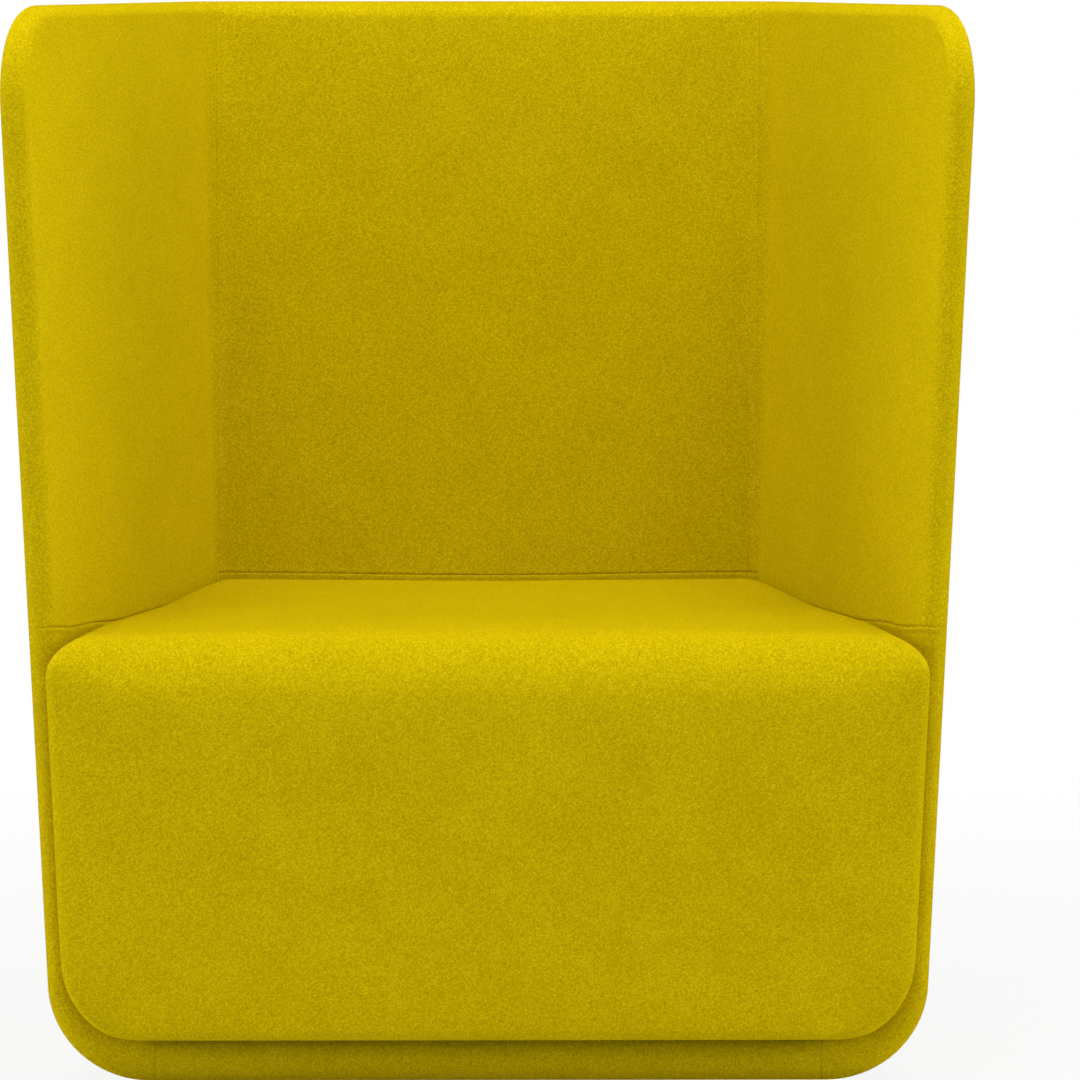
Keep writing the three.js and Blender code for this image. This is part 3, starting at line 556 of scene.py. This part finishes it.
def makeTubCovers():  # three covers to a panel; the left wing mirrors the right one
    for name in ("left", "right", "back"):
        columns = backRange if name == "back" else wingRange
        mirrored = name == "left"
        outside, inside = columns("outer"), columns("inner")
        makeCover(name + "_outer_cover", outside, levelRange("outer"), "outer", None, mirrored)
        makeCover(name + "_inner_cover", inside, levelRange("inner"), "inner", "above", mirrored)
        makeCover(name + "_seat_well_lining", inside, levelRange("lining"), "inner", "below", mirrored)


# The strip round the front lower edge: along the floor, round a half ellipse and back along the underside
def makeFrontEdge():
    half, reach = tub["half"], tub["stripDepth"]
    tall = half + tub["floorPadding"] / 2
    flat = steps(reach, half, tub["spacing"], seam["fine"], atStart=True)
    turn = runs(np.pi, (0, grid["stripTurn"]))[1:-1]
    path = np.concatenate([flat, np.full(len(turn), half), flat[::-1]])
    angle = np.concatenate([np.full(len(flat), np.pi), turn, np.zeros(len(flat))])
    halfWidth = baseEdge(0)
    across = steps(0, 1, 1 / grid["strip"], np.array(seam["fine"]) / halfWidth, atEnd=True)
    across = np.concatenate([-across[:0:-1], across])
    s, y = np.meshgrid(across, path, indexing="ij")
    turned = np.broadcast_to(angle, s.shape)

    def surface(depth):
        x = s * baseEdge(y, tub["seamGap"])
        out, up = (half - depth) * np.sin(turned), (tall - depth) * np.cos(turned)
        return np.stack([x, y - out, tall - up], -1).reshape(-1, 3)

    depth = curl((1 - abs(s)) * halfWidth, "crown") + curl(reach - y, "crown")
    index = numbered(s.shape)
    face, back = surface(depth) + shellStart, surface(tub["felt"]) + shellStart
    piece = makeSheet("front_edge_cover_felt", face, back, gridQuads(index))
    dressPiece(piece, ["front_edge_cover"], "wool_felt")


makeTubCovers()
makeFrontEdge()
print("tub covers made")


# Seat block

seat = {
    "overhang": 0.048,          # in front of the wings
    "bottom": 0.048,            # above the tub's underside
    "clearance": 0.0008,
    "halfWidth": 0.434,
    "cornerBlend": 0.080,       # beside a front corner, the front's edges ease into the side's
    "cornerRadius": 0.010,      # upright front edges
    "rearRadius": 0.014,
    "frontEdge": 0.058,         # front roll
    "sideEdge": 0.040,          # side roll at the front corners
    "rearEdge": 0.018,          # rear roll, and the side roll further back
    "edgeBlend": (1.9, 2.3),    # where along k the side roll changes
    "lowerCorner": 0.062,       # how far the lower edges beside and behind draw in
    "lowerRise": 0.080,         # how high they start
    "bottomEdge": 0.012,
    "crown": 0.008,
    "crownPower": 3,            # the higher, the flatter its middle
    "frontCrown": 0.003,
    "rearRise": 0.007,          # the side edges lie higher behind
    "riseFrom": 0.30,           # between these depths
    "riseTo": 0.50,
    "riseMiddleShare": 0.35,    # share of it that the middle has
    "start": 0.0012,            # how much smaller the cushion starts, before it is blown up
    "cap": 0.0030,              # furthest that a point may travel
    "pressure": 0.10,
    "hemWidth": 0.070,          # felt turned under, up to the cloth
    "hemDepth": 0.0024,
    "hemStart": 0.004,          # from the hem's edge to where the cloth has gone in, start and end
    "hemEnd": 0.010,
    "underHalfWidth": 0.40,     # half sizes of the underside, for the hem
    "underHalfDepth": 0.28,
    "stiffness": 20,
    "shearStiffness": 10,
    "bendingStiffness": 2,
    "quality": 5,
    "frames": 20,
    "frontSteps": 39,           # mesh steps of the front and the rear, of half a corner and of a side
    "cornerSteps": 5,
    "sideSteps": 51,
    "levelSteps": (13, 23, 11),
}
tiny = 1e-9                     # keeps a division from having zero under it


def edgeTurn(inwards, upwards, share):  # a quarter ellipse: how far it still draws in, and its height
    turn = share * quarter
    return inwards * (1 - np.sin(turn)), upwards * (1 - np.cos(turn))


# k runs round half the block: 0 to 1 front, 1 to 2 front corner, 2 to 3 side, 3 to 4 rear corner, 4 to 5
# rear. level 0 to 1 turns the lower edge, 1 to 2 rises straight and 2 to 3 turns the upper edge. inset is how
# much smaller the block is, and half of that underneath.
def blockRing(k, level, inset):
    low, high = portion(level, 0), portion(level, 2)
    bottom, top = seat["bottom"] + inset / 2, tub["seatLevel"] - inset

    def turned(inwards, upwards, upper):
        lowDrawn, lowZ = edgeTurn(inwards, upwards, low)
        highZ, highDrawn = edgeTurn(upper, upper, high)    # measured down from the top
        start, end = bottom + upwards, top - upper
        straight = start + (end - start) * (level - 1)
        z = np.where(level < 1, bottom + lowZ, np.where(level > 2, top - highZ, straight))
        return np.where(level < 1, lowDrawn, highDrawn), z

    frontDrawn, frontZ = turned(seat["bottomEdge"], seat["bottomEdge"], seat["frontEdge"])
    sideRoll = seat["sideEdge"] + (seat["rearEdge"] - seat["sideEdge"]) * smooth(*seat["edgeBlend"], k)
    sideDrawn, sideZ = turned(seat["lowerCorner"], seat["lowerRise"], sideRoll)
    front = inset - seat["overhang"] + frontDrawn
    rear = backLine(sideZ, -tub["half"], True) - seat["clearance"] - inset - sideDrawn
    side = sideLine(sideZ, -tub["half"]) - seat["clearance"] - inset - sideDrawn

    def arc(radius, centreY, start, end, share):
        centreX = (side - radius - centreY * sinSplay) / cosSplay
        angle = start + (end - start) * share
        return centreX + radius * np.cos(angle), centreY + radius * np.sin(angle)

    frontShare, rearShare = portion(k, 1), portion(k, 3)
    fx, fy = arc(seat["cornerRadius"], front + seat["cornerRadius"], -quarter, tub["splay"], frontShare)
    rx, ry = arc(seat["rearRadius"], rear - seat["rearRadius"], tub["splay"], quarter, rearShare)
    sideShare = portion(k, 2)
    flat = portion(k, 0)
    x = np.where(k < 2, fx * np.where(k < 1, flat, 1), fx + (rx - fx) * sideShare)
    x = np.where(k > 4, rx * (1 - portion(k, 4)), x)
    y = np.where(k < 2, fy, fy + (ry - fy) * sideShare)
    bulge = seat["frontCrown"] * (1 - (x / (fx + tiny)) ** 2) * np.sin(np.clip(level / 3, 0, 1) * np.pi)
    y = np.where(k < 1, y - bulge, y)
    outwards = smooth(1 - seat["cornerBlend"] / seat["halfWidth"], 1, k)
    z = np.where(k < 1, frontZ + (sideZ - frontZ) * outwards, sideZ)
    return np.stack([x, y, z], -1)


def coonsPatch(bottomEdge, topEdge, leftEdge, rightEdge):  # blend of two edge sweeps, less the corners' blend
    s = np.linspace(0, 1, len(bottomEdge))[:, None, None]
    t = np.linspace(0, 1, len(leftEdge))[None, :, None]
    acrossSweep = (1 - t) * bottomEdge[:, None] + t * topEdge[:, None]
    sweep = acrossSweep + (1 - s) * leftEdge[None] + s * rightEdge[None]
    leftCorners = (1 - t) * bottomEdge[0] + t * topEdge[0]
    rightCorners = (1 - t) * bottomEdge[-1] + t * topEdge[-1]
    return sweep - ((1 - s) * leftCorners + s * rightCorners)


def settleTop(points):  # the top's rise behind, most at its side edges, fading down the sides
    x, y, z = points[:, 0], points[:, 1], points[:, 2]
    outwards = np.clip(abs(x) / baseEdge(y, -wingTurn), 0, 1) ** 2
    share = seat["riseMiddleShare"] + (1 - seat["riseMiddleShare"]) * outwards
    rise = seat["rearRise"] * smooth(seat["riseFrom"], seat["riseTo"], y) * share
    points[:, 2] += rise * smooth(tub["seatLevel"] - seat["frontEdge"], tub["seatLevel"], z)
    return points


# Rings round the block, closed by a patch on top and one underneath that join the middles of its corners
def makeSeatMesh(name, inset):
    flat, turn, along = seat["frontSteps"], seat["cornerSteps"], seat["sideSteps"]
    half = runs(0, (1, flat), (1.5, turn), (2, turn), (3, along), (3.5, turn), (4, turn), (5, flat))
    levels = runs(0, *enumerate(seat["levelSteps"], 1))
    k, level = np.meshgrid(half, levels, indexing="ij")
    right = blockRing(k, level, inset)
    left = right[-2:0:-1] * np.array([-1, 1, 1])
    rings = np.concatenate([right, left])
    count, rows = rings.shape[:2]
    index = numbered((count, rows))
    points, quads = [rings.reshape(-1, 3)], [gridQuads(np.concatenate([index, index[:1]]))]
    a, b = flat + turn, 2 * turn + along
    order = np.arange(count)
    frontEdge = np.concatenate([order[-a:], order[:a + 1]])
    rightEdge = order[a:a + b + 1]
    rearEdge = order[a + b:a + b + 2 * a + 1][::-1]
    leftEdge = order[a + b + 2 * a:count - a + 1][::-1]
    total = count * rows
    for row, isTop in ((rows - 1, True), (0, False)):
        ring = rings[:, row]
        patch = coonsPatch(ring[frontEdge], ring[rearEdge], ring[leftEdge], ring[rightEdge])
        s = np.linspace(-1, 1, patch.shape[0])[:, None]
        t = np.linspace(-1, 1, patch.shape[1])[None, :]
        if isTop:
            power = seat["crownPower"]
            patch[..., 2] += seat["crown"] * (1 - abs(s) ** power) * (1 - abs(t) ** power)
        else:
            reach = np.minimum((1 - abs(s)) * seat["underHalfWidth"], (1 - abs(t)) * seat["underHalfDepth"])
            hem = seat["hemWidth"] - seat["lowerCorner"]
            patch[..., 2] += seat["hemDepth"] * smooth(hem + seat["hemStart"], hem + seat["hemEnd"], reach)
        table = np.zeros(patch.shape[:2], int)
        table[:, 0], table[:, -1] = index[frontEdge, row], index[rearEdge, row]
        table[0], table[-1] = index[leftEdge, row], index[rightEdge, row]
        inner = patch[1:-1, 1:-1]
        table[1:-1, 1:-1] = total + numbered(inner.shape[:2])
        total += inner.shape[0] * inner.shape[1]
        points.append(inner.reshape(-1, 3))
        quads.append(gridQuads(table)[:, ::-1] if isTop else gridQuads(table))
    return makeMesh(name, settleTop(np.concatenate(points)) + shellStart, np.concatenate(quads))


def blowUp(piece, pinned):  # cloth under pressure, with each point's travel capped
    mesh = piece.data
    start = np.zeros(len(mesh.vertices) * 3, np.float32)
    mesh.vertices.foreach_get("co", start)
    start = start.reshape(-1, 3)
    group = piece.vertex_groups.new(name="pinned")
    group.add(np.nonzero(pinned(start))[0].tolist(), 1.0, "REPLACE")
    cloth = piece.modifiers.new("Cloth", "CLOTH")
    settings = cloth.settings
    settings.quality = seat["quality"]
    settings.use_pressure = True
    settings.uniform_pressure_force = seat["pressure"]
    settings.effector_weights.gravity = 0
    settings.tension_stiffness = settings.compression_stiffness = seat["stiffness"]
    settings.shear_stiffness = seat["shearStiffness"]
    settings.bending_stiffness = seat["bendingStiffness"]
    settings.vertex_group_mass = "pinned"
    cloth.point_cache.frame_start, cloth.point_cache.frame_end = 1, seat["frames"]
    scene = bpy.context.scene
    for number in range(1, seat["frames"] + 1):
        scene.frame_set(number)
    evaluated = piece.evaluated_get(bpy.context.evaluated_depsgraph_get())
    blown = np.zeros(len(mesh.vertices) * 3, np.float32)
    evaluated.data.vertices.foreach_get("co", blown)
    travel = blown.reshape(-1, 3) - start
    length = np.linalg.norm(travel, axis=1)
    print("largest travel: %.2f mm, mean %.2f mm" % (length.max() * 1000, length.mean() * 1000))
    capped = seat["cap"] * np.tanh(length / seat["cap"])
    travel *= (capped / np.maximum(length, tiny))[:, None]
    piece.modifiers.remove(cloth)
    mesh.vertices.foreach_set("co", (start + travel).astype(np.float32).ravel())
    mesh.update()
    scene.frame_set(1)


def makeSeat():  # the block's cushion, blown up and then made finer
    start = seat["start"]
    piece = makeSeatMesh("seat_cushion", start)
    underside = shellStart[2] + seat["bottom"] + start
    blowUp(piece, lambda points: points[:, 2] < underside)
    finer = piece.modifiers.new("Subdivision", "SUBSURF")
    finer.levels = finer.render_levels = 1
    foams = ["seat_" + name + "_foam" for name in ("front", "rear", "left", "right", "core", "top")]
    dressPiece(piece, ["seat_cover", *foams], "wool_felt")


makeSeat()
print("seat cushion made")


# Turned pieces: feet and bolts

turning = {
    "sides": 48,
    "footEdge": 0.0018,         # rounding of a glide's foot
    "footHeight": 0.0065,
    "studRadius": 0.004,
    "threadPitch": 0.00125,
    "threadDepth": 0.00055,
    "threadRows": 6,            # points to a pitch
    "boltHead": 0.004,
    "headEdge": 0.0008,
    "socketRadius": 0.0029,     # corner radius of the hexagon socket
    "socketDepth": 0.0024,
}


# Inner corners become quadratic curves that start at the radius
def roundedProfile(corners, radius, count=6):
    corners = np.array(corners, float)
    before, here, after = corners[:-2], corners[1:-1], corners[2:]

    def towards(other):
        gap = other - here
        length = np.linalg.norm(gap, axis=1, keepdims=True)
        return here + gap * np.minimum(radius / length, 0.5)

    t = np.linspace(0, 1, count)[None, :, None]
    first, last = towards(before)[:, None], towards(after)[:, None]
    curves = (1 - t) ** 2 * first + 2 * t * (1 - t) * here[:, None] + t ** 2 * last
    return np.concatenate([corners[:1], curves.reshape(-1, 2), corners[-1:]])


def ringTable(rows, columns, poles):  # point numbers of rings; a row in poles is one point
    index = numbered((rows, columns))
    index[poles] = index[poles][:, :1]
    return np.concatenate([index, index[:, :1]], 1)


# A profile turned about an upright line: x = r cos a, y = r sin a. The radii may change with the angle.
def makeTurned(name, radii, heights, centre):
    angle = circle(turning["sides"])
    radii = np.broadcast_to(radii if np.ndim(radii) == 2 else radii[:, None], (len(heights), len(angle)))
    z = np.broadcast_to(np.asarray(heights)[:, None], radii.shape)
    points = np.stack([radii * np.cos(angle), radii * np.sin(angle), z], -1).reshape(-1, 3)
    table = ringTable(len(heights), len(angle), np.nonzero(radii[:, 0] == 0)[0])
    return makeMesh(name, points + np.array([*centre, 0]), gridQuads(table))


def middleOf(node):  # middle in plan, half width, lowest and highest level
    low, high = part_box(node)
    return (low.x + high.x) / 2, (low.y + high.y) / 2, (high.x - low.x) / 2, low.z, high.z


def makeGlide(name):  # a rounded foot, and a stud whose radius follows the thread: distance from a helix
    x, y, radius, low, high = middleOf(name)
    edge, top = turning["footEdge"], low + turning["footHeight"]
    foot = roundedProfile([(0, low), (radius, low), (radius, top), (0, top + edge / 3)], edge)
    footPiece = makeTurned(name + "_foot", foot[:, 0], foot[:, 1], (x, y))
    dressPiece(footPiece, [name], "black_nylon", name + "_body")
    pitch = turning["threadPitch"]
    heights = np.arange(top, high - pitch, pitch / turning["threadRows"])
    angle = np.arange(turning["sides"]) / turning["sides"]
    phase = (heights[:, None] / pitch - angle[None, :]) % 1
    thread = turning["studRadius"] - turning["threadDepth"] * (1 - abs(2 * phase - 1))
    end = turning["studRadius"] - turning["threadDepth"]
    ends = np.ones((1, turning["sides"]))
    radii = np.concatenate([0 * ends, end * ends, thread, end * ends, 0 * ends])
    heights = np.concatenate([[top, top], heights, [high, high]])
    stud = makeTurned(name + "_stud", radii, heights, (x, y))
    dressPiece(stud, [], "zinc_steel", name + "_body")


# A cap head with a hexagon socket: its wall lies at cos 30 / cos(angle from a flat's middle)
def makeBolt(name):
    x, y, radius, low, high = middleOf(name)
    shank, socket = turning["studRadius"], turning["socketRadius"]
    floor, headTop = low + turning["socketDepth"], low + turning["boltHead"]
    recess = np.array([(0, floor), (socket, floor), (socket, low)])
    outside = [(socket, low), (radius, low), (radius, headTop), (shank, headTop), (shank, high), (0, high)]
    outside = roundedProfile(outside, turning["headEdge"], 4)[1:]
    profile = np.concatenate([recess, outside])
    angle = circle(turning["sides"])
    hexagon = math.cos(math.pi / 6) / np.cos(angle % (math.pi / 3) - math.pi / 6)
    radii = np.concatenate([recess[:, :1] * hexagon, outside[:, :1] * np.ones_like(angle)])
    dressPiece(makeTurned(name + "_head", radii, profile[:, 1], (x, y)), [name], "zinc_steel")


stations = [end + "_" + side for end in ("front", "rear") for side in ("left", "right")]
for station in stations:
    makeGlide("glide_" + station)
    makeBolt("seat_bolt_" + station)
print("feet and bolts made")


# Cloths under the tub and the seat block

cloth = {
    "spacing": 0.004,           # mesh size
    "thickness": 0.0006,
    "hem": 0.014,               # width of the doubled border
    "hemDepth": 0.0005,
    "sag": 0.0006,
    "holeShare": 0.75,          # points nearer to a hole than this share of its radius are left out
    "stapleInset": 0.006,
    "stapleSpacing": 0.042,
    "stapleSize": (0.0100, 0.0012, 0.0007),
    "stapleSides": 10,
    "stapleEndRows": 4,
    "stapleSeed": 7,
    "stapleScatter": 0.12,      # radians, how crooked the staples are
    "margin": 0.0015,           # to the felt round the sheet
    "holeRadius": 0.0070,
    "holeReach": 2.2,           # border points within this many radii belong to a hole
    "hemStep": 0.002,           # over which the hem's thickness ends
    "sagEnd": 0.12,             # distance from the edge at which the sag is full
    "sagShare": 0.9,            # how much of the sag the upper side follows
}


# A flat cloth between two depths whose half width follows edge(y). Round holes take the nearest points.
def makeCloth(name, node, edge, startY, endY, holes, holeRadius, rests):
    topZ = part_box(node)[1].z
    rows = int((endY - startY) / cloth["spacing"])
    columns = int(2 * edge(startY) / cloth["spacing"])
    s, y = np.meshgrid(np.linspace(-1, 1, columns), np.linspace(startY, endY, rows), indexing="ij")
    x = s * edge(y)
    flat = np.stack([x, y], -1).reshape(-1, 2)
    index = numbered(s.shape)
    quads = gridQuads(index)
    inwards = np.minimum((1 - abs(s)) * edge(y), np.minimum(y - startY, endY - y)).ravel()
    for hole in holes:
        away = np.linalg.norm(flat - hole, axis=1)
        quads = quads[(away[quads] > holeRadius * cloth["holeShare"]).all(1)]
        rim = np.unique(borderEdges(quads))
        rim = rim[away[rim] < cloth["holeReach"] * holeRadius]
        flat[rim] = hole + (flat[rim] - hole) * (holeRadius / away[rim])[:, None]
    hem = cloth["hemDepth"] * (1 - smooth(cloth["hem"], cloth["hem"] + cloth["hemStep"], inwards))
    sag = cloth["sag"] * smooth(cloth["hem"], cloth["sagEnd"], inwards)
    top = np.full(len(flat), topZ)
    under = top - cloth["thickness"] - hem - sag
    plan = flat + shellStart[:2]
    face = np.column_stack([plan, under])
    piece = makeSheet(name, face, np.column_stack([plan, top - sag * cloth["sagShare"]]), quads)
    2 * edge(startY)
    dressPiece(piece, [node], "dust_cloth")


def shellMiddle(node):  # a node's middle in plan, in shell coordinates
    return np.array(middleOf(node)[:2]) - shellStart[:2]


# Flattened rods with round ends, along the border of the cover: x = (l - w)/2 + w/2 cos s beyond each end
def makeStaples(name, edge, startY, endY):
    length, width, height = cloth["stapleSize"]
    inset = cloth["stapleInset"]
    front, rear = startY + inset, endY - inset
    frontX, rearX = edge(front) - inset, edge(rear) - inset
    corners = np.array([(-frontX, front), (frontX, front), (rearX, rear), (-rearX, rear), (-frontX, front)])
    sides = np.linalg.norm(np.diff(corners, axis=0), axis=1)
    reach = np.concatenate([[0], np.cumsum(sides)])
    count = int(reach[-1] / cloth["stapleSpacing"])
    at = (np.arange(count) + 0.5) * reach[-1] / count
    side = np.clip(np.searchsorted(reach, at) - 1, 0, 3)
    middle = np.stack([np.interp(at, reach, corners[:, 0]), np.interp(at, reach, corners[:, 1])], -1)
    run = np.diff(corners, axis=0)[side]
    scatter = np.random.default_rng(cloth["stapleSeed"]).normal(0, cloth["stapleScatter"], count)
    turn = np.arctan2(run[:, 1], run[:, 0]) + scatter
    s = np.linspace(0, quarter, cloth["stapleEndRows"])
    s = np.concatenate([s, np.pi - s[::-1]])
    a = circle(cloth["stapleSides"])
    shift = np.where(np.arange(len(s)) < len(s) // 2, 1, -1) * (length - width) / 2
    along = (shift + width / 2 * np.cos(s))[:, None] * np.ones_like(a)
    across = width / 2 * np.sin(s)[:, None] * np.cos(a)
    up = height / 2 * np.sin(s)[:, None] * np.sin(a)
    x = middle[:, 0, None, None] + along * np.cos(turn)[:, None, None] - across * np.sin(turn)[:, None, None]
    y = middle[:, 1, None, None] + along * np.sin(turn)[:, None, None] + across * np.cos(turn)[:, None, None]
    z = np.broadcast_to(up, x.shape)
    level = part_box("underside_dust_cover")[1].z - shellStart[2] - cloth["thickness"] - cloth["hemDepth"]
    points = np.stack([x, y, z + level], -1).reshape(-1, 3)
    table = ringTable(len(s), len(a), np.array([0, len(s) - 1]))
    quads = (gridQuads(table)[None] + np.arange(count)[:, None, None] * table[:, :-1].size).reshape(-1, 4)
    dressPiece(makeMesh(name, points + shellStart, quads), [], "zinc_steel")


def makeUnderside():  # a dust sheet with holes round feet and bolts, and its staples
    startY, endY = tub["stripDepth"] + cloth["margin"], borderBack - cloth["margin"]
    holes = [shellMiddle("glide_" + station) for station in stations]
    bolts = [shellMiddle("seat_bolt_" + station) for station in stations]

    def edge(y):
        return baseEdge(y, cloth["margin"])

    sheet = ("underside_dust_sheet", "underside_dust_cover")
    makeCloth(*sheet, edge, startY, endY, holes + bolts, cloth["holeRadius"], "base_ply_panel")
    makeStaples("dust_sheet_staples", edge, startY, endY)


makeUnderside()
print("underside made")


def finishNodes():  # finishes for all CAD nodes
    slots = {part["node"]: part["material_slot"] for part in frame["record"]["subparts"]}
    for name, node in frame["nodes"].items():
        node.data.materials.clear()
        node.data.materials.append(finishes[slots[name]])


finishNodes()
print("finishes set")


# Studio

studio = {
    "camera": (0.0, -6.56, 1.130),      # in shell coordinates, as the aim is
    "aim": (0.0519, 0.0, 0.547),
    "lens": 220.1,
    "sensor": 36,
    "world": 0.12,
    "shadow": 0.12,                     # how much of the floor's shading shows near the chair
    "clearFrom": 0.9,                   # distances between which the shading fades to white
    "clearTo": 2.4,
    "floorHalf": 30.0,                  # half the floor's side
    "floorColour": (0.66, 0.66, 0.66, 1),
    "lamps": {                          # place, aim, size, power
        "top_softbox": ((0, -0.7, 3.3), (0, -0.1, 0.5), (2.4, 2.0), 104),
        "left_softbox": ((-3.2, -3.8, 1.5), (0, 0, 0.6), (2.4, 2.4), 50),
        "right_softbox": ((3.2, -3.8, 1.5), (0, 0, 0.6), (2.4, 2.4), 50),
        "left_strip": ((-3.4, -0.8, 0.9), (0, -0.1, 0.5), (1.2, 1.7), 52),
        "right_strip": ((3.4, -0.8, 0.9), (0, -0.1, 0.5), (1.2, 1.7), 52),
        "rear_softbox": ((0, 4.2, 2.2), (0, 0, 0.6), (3.2, 2.4), 40),
    },
}


def aimAt(thing, target):  # yaw and pitch from the direction to the target
    direction = np.array(target) - np.array(thing.location)
    yaw = math.atan2(-direction[0], direction[1])
    pitch = math.atan2(direction[2], math.hypot(direction[0], direction[1]))
    thing.rotation_euler = (quarter + pitch, 0, yaw)


def makeCamera():
    data = bpy.data.cameras.new("camera")
    data.sensor_width = studio["sensor"]
    data.lens = studio["lens"]
    camera = addObject("camera", data)
    camera.location = np.array(studio["camera"]) + shellStart
    aimAt(camera, np.array(studio["aim"]) + shellStart)
    bpy.context.scene.camera = camera


def addLamp(name, place, target, size, power):
    data = bpy.data.lights.new(name, "AREA")
    data.shape = "RECTANGLE"
    data.size, data.size_y = size
    data.energy = power
    lamp = addObject(name, data)
    lamp.location = place
    aimAt(lamp, target)


def seenDirectly(tree):  # 1 for rays from the camera, mirrors and glass
    path = addNode(tree, "ShaderNodeLightPath")
    total = path.outputs["Is Camera Ray"]
    for kind in ("Is Glossy Ray", "Is Transmission Ray"):
        both = addNode(tree, "ShaderNodeMath", operation="ADD", use_clamp=True)
        tree.links.new(total, both.inputs[0])
        tree.links.new(path.outputs[kind], both.inputs[1])
        total = both.outputs[0]
    return total


def makeWorld():  # white to the camera, dim as a light
    world = bpy.data.worlds.new("studio")
    bpy.context.scene.world = world
    world.use_nodes = True
    tree = world.node_tree
    background = tree.nodes["Background"]
    background.inputs["Color"].default_value = (1, 1, 1, 1)
    mix = addNode(tree, "ShaderNodeMix", data_type="FLOAT")
    mix.inputs[2].default_value = studio["world"]
    mix.inputs[3].default_value = 1.0
    tree.links.new(seenDirectly(tree), mix.inputs[0])
    tree.links.new(mix.outputs[0], background.inputs["Strength"])


def makeFloor():  # pale, and white to the camera except for a part of its shading near the chair
    corners = np.array([[-1, -1], [1, -1], [1, 1], [-1, 1]]) * studio["floorHalf"]
    mesh = bpy.data.meshes.new("floor")
    mesh.from_pydata(np.column_stack([corners, np.zeros(4)]).tolist(), [], [[0, 1, 2, 3]])
    floor = addObject("floor", mesh)
    material, tree, shader = makeMaterial("floor", 0.9, specular=0.1)
    shader.inputs["Base Color"].default_value = studio["floorColour"]
    place = addNode(tree, "ShaderNodeTexCoord").outputs["Object"]
    away = addNode(tree, "ShaderNodeVectorMath", operation="LENGTH", Vector=place).outputs["Value"]
    limits = {"From_Min": studio["clearFrom"], "From_Max": studio["clearTo"], "To_Min": 1 - studio["shadow"]}
    fade = addNode(tree, "ShaderNodeMapRange", interpolation_type="SMOOTHSTEP", Value=away, **limits)
    share = addNode(tree, "ShaderNodeMath", operation="MULTIPLY")
    tree.links.new(fade.outputs["Result"], share.inputs[0])
    tree.links.new(seenDirectly(tree), share.inputs[1])
    white = addNode(tree, "ShaderNodeEmission", Color=(1, 1, 1, 1), Strength=1.0)
    mix = addNode(tree, "ShaderNodeMixShader")
    tree.links.new(share.outputs[0], mix.inputs[0])
    tree.links.new(shader.outputs[0], mix.inputs[1])
    tree.links.new(white.outputs[0], mix.inputs[2])
    tree.links.new(mix.outputs[0], tree.nodes["Material Output"].inputs["Surface"])
    floor.data.materials.append(material)


makeCamera()
makeWorld()
makeFloor()
for lampName, values in studio["lamps"].items():
    addLamp(lampName, *values)
bpy.context.scene.view_settings.view_transform = "Standard"
print("studio ready")
